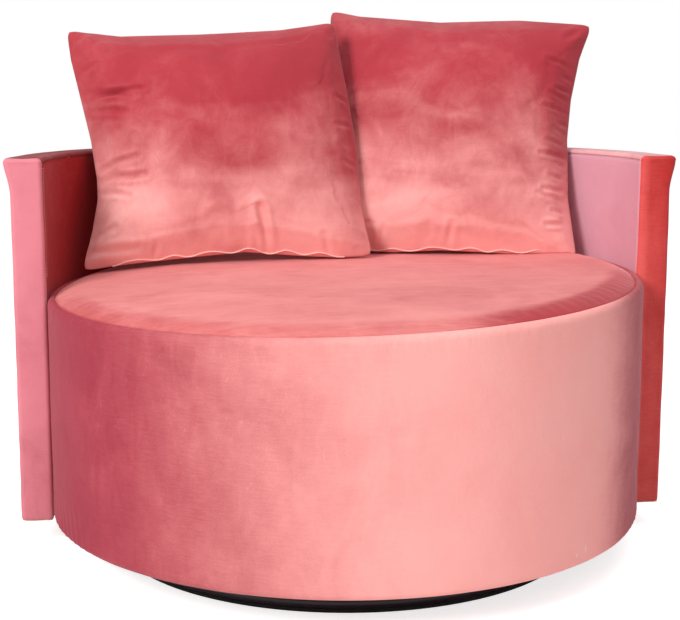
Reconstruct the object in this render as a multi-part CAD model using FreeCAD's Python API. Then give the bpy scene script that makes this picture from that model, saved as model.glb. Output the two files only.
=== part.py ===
import FreeCAD, Part
import math
import os

# Cuddle chair: a round swivel love seat with a low wrap-around back and two loose cushions.
# The origin is on the swivel axis at floor level, +Z is up and -Y is the open front. Sizes are in mm.

os.makedirs("parts", exist_ok=True)
V = FreeCAD.Vector
UP = V(0, 0, 1)
ORIGIN = V(0, 0, 0)

# Floor ring and its cross of square tubes
ring_centre_r = 425.0
ring_tube_r = 12.5
glide_height = 3.0
glide_width = 18.0
glide_lip = 3.0
spoke_width = 30.0
spoke_depth = 18.0
spoke_wall = 2.0

# Ball-bearing swivel: two square plates that turn on each other
plate_size = 305.0
plate_corner_r = 30.0
plate_sheet = 2.0
plate_gap = 8.0
plate_bolt_offset = 127.0
race_height = 2.0
race_width = 16.0
race_centre_r = 115.0
ball_r = 3.0
ball_count = 12
ball_clearance = 0.05
cage_width = 14.0
cage_thickness = 3.0
cage_pocket_clearance = 0.15
collar_inner_r = 60.0
collar_wall = 2.0
collar_lip = 6.0
collar_clearance = 0.5

# Bolts of the swivel
plate_bolt_r = 4.0
plate_bolt_head_r = 8.0
lower_bolt_head = 3.0
upper_bolt_head = 2.5
plate_nut_width = 13.0
plate_nut_height = 5.0
hole_clearance = 0.5

# Block between the swivel and the seat's bottom board
spacer_size = 330.0
spacer_corner_r = 25.0
spacer_clearance = 7.0

# Drum seat
drum_r = 550.0
drum_underside = 62.0
seam_height = 476.0
band_edge_r = 14.0
roll_width = 56.0
roll_rise = 18.0
dome_rise = 14.0
under_edge_r = 12.0
cover_sheet = 2.0
side_foam = 24.0
side_board = 4.0
turn_under = 50.0
dust_cover_sheet = 1.0
board_sheet = 18.0
post_width = 45.0
post_depth = 45.0
top_ring_width = 120.0
foam_base_height = 350.0
strap_width = 60.0
strap_sheet = 2.0
strap_pitch = 100.0
strap_count = 8
strap_margin = 15.0

# Wrap-around back, seen from above a C that hugs the drum
wrap_gap = 0.5
wrap_bottom = 47.0
wrap_top = 719.0
wrap_front_y = -48.0
wrap_edge_r = 9.0
inner_pad = 10.0
outer_pad = 8.0
top_pad = 12.0
front_pad = 10.0
skin_sheet = 3.0
rib_depth = 32.0
rib_width = 45.0
rail_sheet = 18.0
front_board_sheet = 18.0

# Posts of the drum, and the bolts that tie the back to every second one of them
wrap_post_first = 10.0
wrap_post_count = 5
front_post_first = 210.0
front_post_count = 3
tie_bolt_r = 4.0
tie_bolt_head_width = 13.0
tie_bolt_head = 5.5
tie_bolt_heights = (130.0, 300.0)
tee_nut_flange_r = 11.0
tee_nut_flange = 1.5
tee_nut_barrel_r = 5.5
tee_nut_barrel = 9.5
tee_nut_sink = 0.5

# Loose cushions, as they stand and slump. Each outline is measured from the cushion's middle: its
# reach to either side at the bottom, waist and top, its two ends and how far their seams draw in.
left_outline = {"left_bottom": 292.0, "left_waist": 256.0, "left_top": 298.0,
                "right_bottom": 291.0, "right_waist": 277.0, "right_top": 260.0,
                "top": 250.0, "top_draw": 17.0, "bottom": 260.0, "bottom_draw": 19.0}
right_outline = {"left_bottom": 286.0, "left_waist": 262.0, "left_top": 278.0,
                 "right_bottom": 284.0, "right_waist": 251.0, "right_top": 282.0,
                 "top": 268.0, "top_draw": 11.0, "bottom": 256.0, "bottom_draw": 8.0}
cushion_middle_height = 258.0
cushion_crown = 90.0
cushion_corner_cut = 14.0
cushion_sections = 6
cushion_cover_sheet = 1.5
cushion_fill_inset = 5.0
zip_lip = 5.0
zip_sheet = 2.5
zip_share = 0.72
seat_gap = 0.3

# Pose of each cushion: where its middle stands across the seat, then lean, turn and roll in degrees.
# Each one is set down near the front of the seat and pushed back until something stops it.
cushion_start_y = 60.0
settle_steps = 60
settle_step_share = 0.7
settle_close = 0.05
left_foot_x = -212.0
left_lean = 21.0
left_turn = 2.5
left_roll = 2.2
right_foot_x = 214.0
right_lean = 21.0
right_turn = -14.5
right_roll = -2.6

# Heights and radii that follow from the sizes above
ring_centre_z = glide_height + ring_tube_r
spoke_top = ring_centre_z + spoke_depth / 2.0
lower_plate_top = spoke_top + plate_sheet
upper_plate_bottom = lower_plate_top + plate_gap
upper_plate_top = upper_plate_bottom + plate_sheet
ball_z = lower_plate_top + plate_gap / 2.0
board_bottom = drum_underside + cover_sheet
board_top = board_bottom + board_sheet
foam_bottom = foam_base_height + 2.0 * strap_sheet
seam_r = drum_r - band_edge_r
band_top = seam_height - band_edge_r
seat_crown = roll_rise + dome_rise
side_foam_in_r = drum_r - cover_sheet - side_foam
frame_r = side_foam_in_r - side_board
posts_in_r = frame_r - post_depth
posts_top = foam_base_height - board_sheet
wrap_in_r = drum_r + wrap_gap
skin_in_r = wrap_in_r + cover_sheet + inner_pad
rib_in_r = skin_in_r + skin_sheet
rib_out_r = rib_in_r + rib_depth
tie_bolt_end_r = rib_out_r - tee_nut_sink - tee_nut_flange
skin_out_r = rib_out_r + skin_sheet
wrap_out_r = skin_out_r + outer_pad + cover_sheet
frame_front_y = wrap_front_y + cover_sheet + front_pad
rib_front_y = frame_front_y + front_board_sheet
frame_top = wrap_top - cover_sheet - top_pad
frame_bottom = wrap_bottom + cover_sheet
wrap_post_step = (180.0 - 2.0 * wrap_post_first) / (wrap_post_count - 1)
wrap_post_angles = [wrap_post_first + wrap_post_step * i for i in range(wrap_post_count)]
front_post_step = 2.0 * (270.0 - front_post_first) / (front_post_count - 1)
front_post_angles = [front_post_first + front_post_step * i for i in range(front_post_count)]
far = 4.0 * drum_r
tiny = 0.01


# Small shared helpers
def save(node, shape):
    shape.exportStep("parts/" + node + ".step")
    print(node, "solids", len(shape.Solids), "litres", round(shape.Volume / 1e6, 3))


def group(solids):
    return Part.makeCompound(solids)


def line(a, b):
    return Part.makeLine(V(a[0], 0, a[1]), V(b[0], 0, b[1]))


def arc(a, mid, b):
    return Part.Arc(V(a[0], 0, a[1]), V(mid[0], 0, mid[1]), V(b[0], 0, b[1])).toShape()


def corner_arc(a, centre, b):
    """Quarter arc from a to b round a centre, all as (radius, height)."""
    radius = math.hypot(a[0] - centre[0], a[1] - centre[1])
    ux = a[0] + b[0] - 2.0 * centre[0]
    uz = a[1] + b[1] - 2.0 * centre[1]
    size = math.hypot(ux, uz)
    return arc(a, (centre[0] + radius * ux / size, centre[1] + radius * uz / size), b)


def turned(edges):
    """Solid of revolution about the swivel axis from a closed profile in the XZ plane."""
    return Part.Face(Part.Wire(edges)).revolve(ORIGIN, UP, 360.0)


def ring(r_in, r_out, z_low, z_high):
    outer = Part.makeCylinder(r_out, z_high - z_low, V(0, 0, z_low))
    if r_in <= 0:
        return outer
    return outer.cut(Part.makeCylinder(r_in, z_high - z_low, V(0, 0, z_low)))


def behind(y_front, z_low, z_high):
    """Box that holds everything behind the plane y = y_front."""
    return Part.makeBox(2 * far, far, z_high - z_low, V(-far, y_front, z_low))


def c_ring(r_in, r_out, z_low, z_high, y_front):
    return ring(r_in, r_out, z_low, z_high).common(behind(y_front, z_low, z_high))


def radial_cylinder(radius, r_from, r_to, angle, height):
    a = math.radians(angle)
    out = V(math.cos(a), math.sin(a), 0)
    return Part.makeCylinder(radius, r_to - r_from, out * r_from + V(0, 0, height), out)


def hexagon(across, height, place, direction):
    """Hexagonal prism for a bolt head or nut, standing on place along direction."""
    corner = across / math.sqrt(3.0)
    points = []
    for i in range(7):
        a = math.radians(60.0 * i)
        points.append(V(corner * math.cos(a), corner * math.sin(a), 0))
    prism = Part.Face(Part.makePolygon(points)).extrude(V(0, 0, height))
    prism.Placement = FreeCAD.Placement(place, FreeCAD.Rotation(UP, direction))
    return prism


def rounded_square(size, corner, z_low, z_high):
    box = Part.makeBox(size, size, z_high - z_low, V(-size / 2.0, -size / 2.0, z_low))
    upright = [e for e in box.Edges if abs(e.Vertexes[0].Z - e.Vertexes[1].Z) > tiny]
    return box.makeFillet(corner, upright)


def four_corners(offset):
    return [(sx * offset, sy * offset) for sx in (-1, 1) for sy in (-1, 1)]


def drill(shape, radius, places, z_low, z_high):
    for x, y in places:
        shape = shape.cut(Part.makeCylinder(radius, z_high - z_low, V(x, y, z_low)))
    return shape


# Floor ring, its cross and the glide strip that it stands on
def make_base_ring():
    """Bent tube, welded shut, so it is left solid inside."""
    return Part.makeTorus(ring_centre_r, ring_tube_r, V(0, 0, ring_centre_z))


def make_glide_strip():
    half = glide_width / 2.0
    strip = ring(ring_centre_r - half, ring_centre_r + half, 0.0, glide_height + glide_lip)
    return strip.cut(Part.makeTorus(ring_centre_r, ring_tube_r, V(0, 0, ring_centre_z)))


def diagonal_bar(width, z_low, z_high, angle):
    bar = Part.makeBox(2 * ring_centre_r, width, z_high - z_low, V(-ring_centre_r, -width / 2.0, z_low))
    bar.rotate(ORIGIN, UP, angle)
    return bar


def make_cross():
    low = spoke_top - spoke_depth
    outer = diagonal_bar(spoke_width, low, spoke_top, 45.0)
    outer = outer.fuse(diagonal_bar(spoke_width, low, spoke_top, 135.0))
    hollow_width = spoke_width - 2.0 * spoke_wall
    hollow = diagonal_bar(hollow_width, low + spoke_wall, spoke_top - spoke_wall, 45.0)
    hollow = hollow.fuse(diagonal_bar(hollow_width, low + spoke_wall, spoke_top - spoke_wall, 135.0))
    tube = Part.makeTorus(ring_centre_r, ring_tube_r, V(0, 0, ring_centre_z))
    outside = ring(ring_centre_r, far, 0.0, 2.0 * spoke_top)
    cross = outer.cut(hollow).cut(tube).cut(outside)
    return drill(cross, plate_bolt_r + hole_clearance, four_corners(plate_bolt_offset), 0.0, far)


# Swivel bearing: each plate carries a raised race with a groove for the balls
def race_ring(z_low, z_high):
    half = race_width / 2.0
    blank = ring(race_centre_r - half, race_centre_r + half, z_low, z_high)
    return blank.cut(Part.makeTorus(race_centre_r, ball_r + ball_clearance, V(0, 0, ball_z)))


def make_lower_plate():
    """Plate with a centre collar whose rolled lip traps the upper plate."""
    plate = rounded_square(plate_size, plate_corner_r, spoke_top, lower_plate_top)
    plate = plate.cut(ring(0.0, collar_inner_r, spoke_top, lower_plate_top))
    lip_bottom = upper_plate_top + collar_clearance
    lip_top = lip_bottom + collar_wall
    collar_r = collar_inner_r + collar_wall
    collar = ring(collar_inner_r, collar_r, spoke_top, lip_top)
    lip = ring(collar_inner_r, collar_r + collar_lip, lip_bottom, lip_top)
    plate = plate.fuse([race_ring(lower_plate_top, lower_plate_top + race_height), collar, lip])
    holes = four_corners(plate_bolt_offset)
    return drill(plate.removeSplitter(), plate_bolt_r + hole_clearance, holes, 0.0, far)


def make_upper_plate():
    plate = rounded_square(plate_size, plate_corner_r, upper_plate_bottom, upper_plate_top)
    plate = plate.fuse(race_ring(upper_plate_bottom - race_height, upper_plate_bottom))
    bore = collar_inner_r + collar_wall + collar_clearance
    plate = plate.removeSplitter().cut(ring(0.0, bore, 0.0, 2.0 * upper_plate_top))
    holes = four_corners(plate_bolt_offset)
    return drill(plate, plate_bolt_r + hole_clearance, holes, 0.0, 2.0 * upper_plate_top)


def ball_centres():
    places = []
    for i in range(ball_count):
        a = 2.0 * math.pi * i / ball_count
        places.append(V(race_centre_r * math.cos(a), race_centre_r * math.sin(a), ball_z))
    return places


def make_ball_cage():
    half = cage_width / 2.0
    low = ball_z - cage_thickness / 2.0
    cage = ring(race_centre_r - half, race_centre_r + half, low, low + cage_thickness)
    pockets = [(p.x, p.y) for p in ball_centres()]
    return drill(cage, ball_r + cage_pocket_clearance, pockets, low, low + cage_thickness)


def make_lower_bolts():
    """Pan-head bolts through the lower plate and a spoke, each with its nut."""
    solids = []
    nut_bottom = spoke_top - spoke_depth - plate_nut_height
    for x, y in four_corners(plate_bolt_offset):
        shank = Part.makeCylinder(plate_bolt_r, lower_plate_top - nut_bottom, V(x, y, nut_bottom))
        head = Part.makeCylinder(plate_bolt_head_r, lower_bolt_head, V(x, y, lower_plate_top))
        nut = hexagon(plate_nut_width, plate_nut_height, V(x, y, nut_bottom), UP)
        solids.append(shank.fuse([head, nut]).removeSplitter())
    return group(solids)


def make_upper_bolts():
    """Bolts from below through the upper plate, the spacer and the bottom board."""
    solids = []
    for x, y in four_corners(plate_bolt_offset):
        head_place = V(x, y, upper_plate_bottom - upper_bolt_head)
        head = Part.makeCylinder(plate_bolt_head_r, upper_bolt_head, head_place)
        top = board_top + plate_nut_height
        shank = Part.makeCylinder(plate_bolt_r, top - upper_plate_bottom, V(x, y, upper_plate_bottom))
        nut = hexagon(plate_nut_width, plate_nut_height, V(x, y, board_top), UP)
        solids.append(shank.fuse([head, nut]).removeSplitter())
    return group(solids)


def make_spacer():
    block = rounded_square(spacer_size, spacer_corner_r, upper_plate_top, board_bottom)
    bore_r = collar_inner_r + collar_wall + collar_lip + spacer_clearance
    block = block.cut(ring(0.0, bore_r, 0.0, far))
    return drill(block, plate_bolt_r + hole_clearance, four_corners(plate_bolt_offset), 0.0, far)


# Timber frame of the drum
def make_bottom_board():
    board = ring(0.0, frame_r, board_bottom, board_top)
    return drill(board, plate_bolt_r + hole_clearance, four_corners(plate_bolt_offset), 0.0, far)


def upright_block(r_in, r_out, width, angle, z_low, z_high):
    """Upright whose faces follow the curves that it stands between."""
    corner = V(r_in - width / 2.0, -width / 2.0, z_low)
    block = Part.makeBox(r_out - r_in + width, width, z_high - z_low, corner)
    block.rotate(ORIGIN, UP, angle)
    return block.common(ring(r_in, r_out, z_low, z_high))


def make_posts():
    angles = wrap_post_angles + front_post_angles
    return [upright_block(posts_in_r, frame_r, post_width, a, board_top, posts_top) for a in angles]


def make_straps():
    """Two layers of elastic webbing, one across the other, tacked to the top ring."""
    reach = frame_r - strap_margin
    solids = []
    for i in range(strap_count):
        edge = (i - (strap_count - 1) / 2.0) * strap_pitch - strap_width / 2.0
        along_corner = V(-reach, edge, foam_base_height)
        across_corner = V(edge, -reach, foam_base_height + strap_sheet)
        along = Part.makeBox(2 * reach, strap_width, strap_sheet, along_corner)
        across = Part.makeBox(strap_width, 2 * reach, strap_sheet, across_corner)
        disc = ring(0.0, reach, foam_base_height, foam_bottom)
        solids += [along.common(disc), across.common(disc)]
    return group(solids)


# Upholstery of the drum: one side band, one domed top panel and the foams below them
def top_edges(edge_z):
    """Two smooth arcs: the puffed roll inside the seam, then the shallow dome up to the axis."""
    dome_r = seam_r - roll_width
    dome_z = edge_z + roll_rise
    crown_z = dome_z + dome_rise
    sphere_r = (dome_r ** 2 + dome_rise ** 2) / (2.0 * dome_rise)
    dome_mid = (dome_r / 2.0, crown_z - sphere_r + math.sqrt(sphere_r ** 2 - (dome_r / 2.0) ** 2))
    dome = arc((dome_r, dome_z), dome_mid, (0.0, crown_z))
    start_slope = math.asin(dome_r / sphere_r)
    chord_slope = math.atan2(roll_rise, roll_width)
    sagitta = math.hypot(roll_rise, roll_width) / 2.0 * math.tan((chord_slope - start_slope) / 2.0)
    roll_mid = (dome_r + roll_width / 2.0 + sagitta * math.sin(chord_slope),
                edge_z + roll_rise / 2.0 + sagitta * math.cos(chord_slope))
    return [arc((seam_r, edge_z), roll_mid, (dome_r, dome_z)), dome]


def make_side_cover():
    r, t = drum_r, cover_sheet
    edge_in = r - under_edge_r
    edge_top = drum_underside + under_edge_r
    hem_r = r - turn_under
    outside = [line((hem_r, drum_underside), (edge_in, drum_underside)),
               corner_arc((edge_in, drum_underside), (edge_in, edge_top), (r, edge_top)),
               line((r, edge_top), (r, band_top)),
               corner_arc((r, band_top), (seam_r, band_top), (seam_r, seam_height))]
    inside = [line((seam_r, seam_height), (seam_r, seam_height - t)),
              corner_arc((seam_r, seam_height - t), (seam_r, band_top), (r - t, band_top)),
              line((r - t, band_top), (r - t, edge_top)),
              corner_arc((r - t, edge_top), (edge_in, edge_top), (edge_in, drum_underside + t)),
              line((edge_in, drum_underside + t), (hem_r, drum_underside + t)),
              line((hem_r, drum_underside + t), (hem_r, drum_underside))]
    return turned(outside + inside)


def make_top_cover():
    low = seam_height - cover_sheet
    axis = line((0.0, seam_height + seat_crown), (0.0, low + seat_crown))
    rim = line((seam_r, low), (seam_r, seam_height))
    return turned(top_edges(seam_height) + [axis] + top_edges(low)[::-1] + [rim])


def make_seat_foam():
    low = seam_height - cover_sheet
    r = drum_r - cover_sheet
    below = [line((0.0, foam_bottom), (r, foam_bottom)),
             line((r, foam_bottom), (r, band_top)),
             corner_arc((r, band_top), (seam_r, band_top), (seam_r, low))]
    return turned(below + top_edges(low) + [line((0.0, low + seat_crown), (0.0, foam_bottom))])


def make_side_foam():
    r = drum_r - cover_sheet
    edge_in = drum_r - under_edge_r
    edge_top = drum_underside + under_edge_r
    return turned([line((side_foam_in_r, board_bottom), (edge_in, board_bottom)),
                   corner_arc((edge_in, board_bottom), (edge_in, edge_top), (r, edge_top)),
                   line((r, edge_top), (r, foam_bottom)),
                   line((r, foam_bottom), (side_foam_in_r, foam_bottom)),
                   line((side_foam_in_r, foam_bottom), (side_foam_in_r, board_bottom))])


def make_dust_cover():
    disc = ring(0.0, drum_r - turn_under, board_bottom - dust_cover_sheet, board_bottom)
    return disc.cut(rounded_square(spacer_size, spacer_corner_r, 0.0, board_top))


# Wrap-around back
def wrap_block(inset, edge_r):
    """Outer form of the back, drawn in by inset on all its faces, with softened edges."""
    top = wrap_top - inset
    front = wrap_front_y + inset
    block = c_ring(wrap_in_r + inset, wrap_out_r - inset, wrap_bottom + inset, top, front)
    soft = []
    for edge in block.Edges:
        ends = [edge.valueAt(edge.FirstParameter), edge.valueAt(edge.LastParameter)]
        at_top = all(abs(p.z - top) < tiny for p in ends)
        at_front = all(abs(p.y - front) < tiny for p in ends)
        is_front_upright = at_front and abs(ends[0].z - ends[1].z) > tiny
        if at_top or is_front_upright:
            soft.append(edge)
    return block.makeFillet(edge_r, soft)


def make_wrap_covers():
    """The back's cover, cut at its seams into front, top, inner and outer panels."""
    shell = wrap_block(0.0, wrap_edge_r).cut(wrap_block(cover_sheet, wrap_edge_r - cover_sheet))
    front_seam = wrap_front_y + wrap_edge_r
    top_seam = wrap_top - wrap_edge_r
    middle_r = (wrap_in_r + wrap_out_r) / 2.0
    rear = shell.common(behind(front_seam, 0.0, far))
    fronts = shell.cut(behind(front_seam, 0.0, far))
    top = rear.common(behind(-far / 2.0, top_seam, far))
    sides = rear.cut(behind(-far / 2.0, top_seam, far))
    inner = sides.common(ring(0.0, middle_r, 0.0, far))
    outer = sides.cut(ring(0.0, middle_r, 0.0, far))
    return fronts, top, inner, outer


def make_wrap_padding():
    frame = c_ring(skin_in_r, skin_out_r, 0.0, frame_top, frame_front_y)
    return wrap_block(cover_sheet, wrap_edge_r - cover_sheet).cut(frame)


def make_ribs():
    low = frame_bottom + rail_sheet
    high = frame_top - rail_sheet
    return [upright_block(rib_in_r, rib_out_r, rib_width, a, low, high) for a in wrap_post_angles]


def make_front_boards():
    board = c_ring(rib_in_r, rib_out_r, frame_bottom, frame_top, frame_front_y)
    return board.cut(behind(rib_front_y, 0.0, far))


# Bolts between drum and back
def tie_places():
    return [(a, z) for a in wrap_post_angles[::2] for z in tie_bolt_heights]


def make_tie_bolts():
    solids = []
    seat_r = math.sqrt(posts_in_r ** 2 - (tie_bolt_head_width / 2.0) ** 2)
    for angle, height in tie_places():
        a = math.radians(angle)
        out = V(math.cos(a), math.sin(a), 0)
        shank = radial_cylinder(tie_bolt_r, seat_r, tie_bolt_end_r, angle, height)
        head_place = out * (seat_r - tie_bolt_head) + V(0, 0, height)
        head = hexagon(tie_bolt_head_width, tie_bolt_head, head_place, out)
        solids.append(shank.fuse(head).removeSplitter())
    return group(solids)


def make_tee_nuts():
    """Each nut lies sunk in its rib, so that it clears the skin over it."""
    solids = []
    face_r = rib_out_r - tee_nut_sink
    end_r = face_r - tee_nut_flange - tee_nut_barrel
    for angle, height in tie_places():
        barrel = radial_cylinder(tee_nut_barrel_r, end_r, face_r, angle, height)
        flange = radial_cylinder(tee_nut_flange_r, face_r - tee_nut_flange, face_r, angle, height)
        bolt = radial_cylinder(tie_bolt_r, 0.0, tie_bolt_end_r, angle, height)
        solids.append(barrel.fuse(flange).removeSplitter().cut(bolt))
    return group(solids)


def seat_tee_nuts(shape):
    """Cut the counterbore that each nut is pressed into."""
    bottom = rib_out_r - tee_nut_sink - tee_nut_flange
    for angle, height in tie_places():
        shape = shape.cut(radial_cylinder(tee_nut_flange_r, bottom, rib_out_r + tee_nut_sink, angle, height))
        shape = shape.cut(radial_cylinder(tee_nut_barrel_r, bottom - tee_nut_barrel, bottom, angle, height))
    return shape


def bore_for_ties(shape):
    for angle, height in tie_places():
        shape = shape.cut(radial_cylinder(tie_bolt_r + hole_clearance, 0.0, tie_bolt_end_r, angle, height))
    return shape


# Loose cushions
def reach(outline, side, share):
    """Reach to one side at a share of the height from -1 at the bottom to 1 at the top."""
    end = outline[side + "_top"] if share > 0 else outline[side + "_bottom"]
    waist = outline[side + "_waist"]
    return waist + (end - waist) * share ** 2


def seam_arc(outline, share, depth, inset):
    """Half an ellipse from the left seam over the cushion's face to the right seam."""
    corner = cushion_corner_cut * share ** 8
    left = -reach(outline, "left", share) + corner + inset
    right = reach(outline, "right", share) - corner - inset
    end = "top" if share > 0 else "bottom"
    level = share * (outline[end] - inset)
    middle = level - outline[end + "_draw"] * share ** 3
    centre = V((left + right) / 2.0, 0, level)
    ellipse = Part.Ellipse(V(right, 0, level), V(centre.x, depth, middle), centre)
    return Part.ArcOfEllipse(ellipse, 0.0, math.pi)


def cushion_half(outline, crown, inset, side):
    """One face of a cushion: half ellipses across it, from the lower seam up to the upper one."""
    sections = []
    for i in range(cushion_sections + 1):
        share = math.sin(math.pi * (i / cushion_sections - 0.5))
        depth = -side * crown * math.sqrt(max(0.0, 1.0 - share ** 2))
        sections.append(Part.Wire([seam_arc(outline, share, depth, inset).toShape()]))
    return Part.makeLoft(sections, False, False)


def cushion_solid(outline, crown, inset):
    faces = cushion_half(outline, crown, inset, 1).Faces + cushion_half(outline, crown, inset, -1).Faces
    skin = Part.makeShell(faces)
    skin.sewShape()
    solid = Part.makeSolid(skin)
    if solid.Volume < 0:
        solid.reverse()
    return solid


def cushion_zip(outline):
    """Lip of the concealed zip, hanging from the middle of the lower seam."""
    first = math.pi / 2.0 * (1.0 - zip_share)
    arc_of_seam = seam_arc(outline, -1.0, 0.0, 0.0)
    seam = Part.ArcOfEllipse(arc_of_seam.Ellipse, first, math.pi - first).toShape()
    strip = seam.extrude(V(0, 0, -zip_lip))
    strip.translate(V(0, -zip_sheet / 2.0, 0))
    return strip.extrude(V(0, zip_sheet, 0))


def posed(shape, foot_x, lean, turn, roll):
    """Stand a cushion on its lower edge, lean it back, turn it and set it over the seat."""
    shape = shape.copy()
    shape.translate(V(0, 0, cushion_middle_height))
    shape.rotate(ORIGIN, V(0, 1, 0), -roll)
    shape.rotate(ORIGIN, V(1, 0, 0), -lean)
    shape.rotate(ORIGIN, UP, turn)
    shape.translate(V(foot_x, cushion_start_y, seam_height + 2.0 * seat_crown))
    return shape


def room(form, obstacles):
    """Free way from a cushion to the nearest obstacle, beyond the gap that stays."""
    return min(form.distToShape(o)[0] for o in obstacles) - seat_gap


def settle(outline, pose, seat_form, obstacles):
    """Offset that lowers a cushion onto the seat and then pushes it back until it is stopped."""
    outer = cushion_solid(outline, cushion_crown, 0.0)
    form = posed(group([outer, cushion_zip(outline)]), *pose)
    total = V(0, 0, 0)
    for step in range(settle_steps):
        below = room(form, [seat_form])
        move = V(0, 0, -below)
        if below < settle_close:
            behind_it = room(form, obstacles)
            if behind_it < settle_close:
                break
            move = V(0, settle_step_share * behind_it, 0)
        form.translate(move)
        total = total + move
    return total, form


def cushion_pieces(outline, pose, shift):
    outer = cushion_solid(outline, cushion_crown, 0.0)
    fill = cushion_solid(outline, cushion_crown - cushion_cover_sheet, cushion_fill_inset)
    pieces = []
    for piece in (outer.cut(fill), fill, cushion_zip(outline)):
        piece = posed(piece, *pose)
        piece.translate(shift)
        pieces.append(piece)
    return pieces


# Build and save every node
save("base_ring", make_base_ring())
save("base_glide_strip", make_glide_strip())
save("base_cross", make_cross())
save("swivel_lower_plate", make_lower_plate())
save("lower_plate_bolts", make_lower_bolts())
save("bearing_balls", group([Part.makeSphere(ball_r, p) for p in ball_centres()]))
save("bearing_cage", make_ball_cage())
save("swivel_upper_plate", make_upper_plate())
save("upper_plate_bolts", make_upper_bolts())
save("swivel_spacer", make_spacer())

save("seat_bottom_board", make_bottom_board())
save("seat_posts", bore_for_ties(group(make_posts())))
save("seat_top_ring", ring(frame_r - top_ring_width, frame_r, posts_top, foam_base_height))
save("seat_webbing", make_straps())
save("seat_side_board", bore_for_ties(ring(frame_r, side_foam_in_r, board_bottom, foam_bottom)))
save("seat_side_foam", bore_for_ties(make_side_foam()))
save("seat_foam", make_seat_foam())
save("seat_side_cover", bore_for_ties(make_side_cover()))
save("seat_top_cover", make_top_cover())
save("seat_dust_cover", make_dust_cover())

wrap_fronts, wrap_top_cover, wrap_inner_cover, wrap_outer_cover = make_wrap_covers()
save("arm_front_covers", wrap_fronts)
save("back_top_cover", wrap_top_cover)
save("back_inner_cover", bore_for_ties(wrap_inner_cover))
save("back_outer_cover", wrap_outer_cover)
save("back_padding", bore_for_ties(make_wrap_padding()))
save("back_inner_skin", bore_for_ties(c_ring(skin_in_r, rib_in_r, frame_bottom, frame_top, frame_front_y)))
save("back_outer_skin", c_ring(rib_out_r, skin_out_r, frame_bottom, frame_top, frame_front_y))
save("back_bottom_rail", c_ring(rib_in_r, rib_out_r, frame_bottom, frame_bottom + rail_sheet, rib_front_y))
save("back_top_rail", c_ring(rib_in_r, rib_out_r, frame_top - rail_sheet, frame_top, rib_front_y))
save("back_ribs", seat_tee_nuts(bore_for_ties(group(make_ribs()))))
save("arm_front_boards", make_front_boards())
save("tie_bolts", make_tie_bolts())
save("tie_tee_nuts", make_tee_nuts())

seat_form = make_top_cover().fuse(make_side_cover())
back_form = wrap_block(0.0, wrap_edge_r)
right_pose = (right_foot_x, right_lean, right_turn, right_roll)
left_pose = (left_foot_x, left_lean, left_turn, left_roll)
right_shift, right_form = settle(right_outline, right_pose, seat_form, [back_form])
left_shift, left_form = settle(left_outline, left_pose, seat_form, [back_form, right_form])
for side, outline, pose, shift in (("right", right_outline, right_pose, right_shift),
                                   ("left", left_outline, left_pose, left_shift)):
    cover, fill, lip = cushion_pieces(outline, pose, shift)
    save(side + "_cushion_cover", cover)
    save(side + "_cushion_fill", fill)
    save(side + "_cushion_zip", lip)
    print(side, "cushion moved by", shift)
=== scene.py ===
# %% [markdown]
# # A round velvet love seat
# The chair is a drum that turns on a black floor ring, held on three sides by a low curved back, with
# two loose cushions on it. The CAD model gives every size and every moving body. This notebook dresses
# it: each soft piece is rebuilt as cloth, and each hard piece gets its finish.

# %% Load the frame
import math

import bmesh
import bpy
import numpy as np
from mathutils import Matrix, Vector, noise
from mathutils.bvhtree import BVHTree


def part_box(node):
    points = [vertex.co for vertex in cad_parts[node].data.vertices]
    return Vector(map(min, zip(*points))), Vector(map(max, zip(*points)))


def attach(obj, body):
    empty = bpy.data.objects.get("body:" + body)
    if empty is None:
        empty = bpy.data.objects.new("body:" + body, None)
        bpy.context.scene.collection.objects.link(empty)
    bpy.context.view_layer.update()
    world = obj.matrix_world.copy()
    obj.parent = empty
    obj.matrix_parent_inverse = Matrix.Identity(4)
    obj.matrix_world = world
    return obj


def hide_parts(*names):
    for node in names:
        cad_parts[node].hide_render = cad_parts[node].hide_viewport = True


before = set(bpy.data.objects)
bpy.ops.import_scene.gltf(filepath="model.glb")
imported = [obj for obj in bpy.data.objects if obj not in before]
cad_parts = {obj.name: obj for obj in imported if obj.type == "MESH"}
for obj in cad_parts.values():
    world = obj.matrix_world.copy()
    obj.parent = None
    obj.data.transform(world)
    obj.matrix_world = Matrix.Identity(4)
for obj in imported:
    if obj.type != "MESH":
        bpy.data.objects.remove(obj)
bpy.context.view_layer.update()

# %% [markdown]
# ## Sizes that the pieces share
# The drum and the back are round about the swivel axis, so a few radii and heights place everything.
# They come from the CAD nodes' own boxes, which keeps the cloth on the frame that carries it.

# %% Read the shared sizes
band_low, band_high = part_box("seat_side_cover")
wrap_low, wrap_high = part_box("back_outer_cover")
wrap_gap = 0.0005
drum_r = band_high[0]
drum_low = band_low[2]
seam_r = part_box("seat_top_cover")[1][0]
seam_z = band_high[2]
wrap_in_r = drum_r + wrap_gap
wrap_out_r = wrap_high[0]
wrap_low_z = wrap_low[2]
wrap_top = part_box("back_top_cover")[1][2]
front_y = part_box("arm_front_covers")[0][1]
cloth = 0.002
print("drum", drum_r, "seam", seam_r, seam_z, "back", wrap_in_r, wrap_out_r, wrap_low_z, wrap_top)

# %% [markdown]
# ## A small language for shaders
# A node tree reads best as the formula that it is. `Wire` wraps a socket, so that `1 - mask * 0.5`
# adds the Math nodes by itself. `Recipe` holds one material's tree. Every node is added by one
# function, which takes its type, its settings, and then what goes into its sockets.

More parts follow.
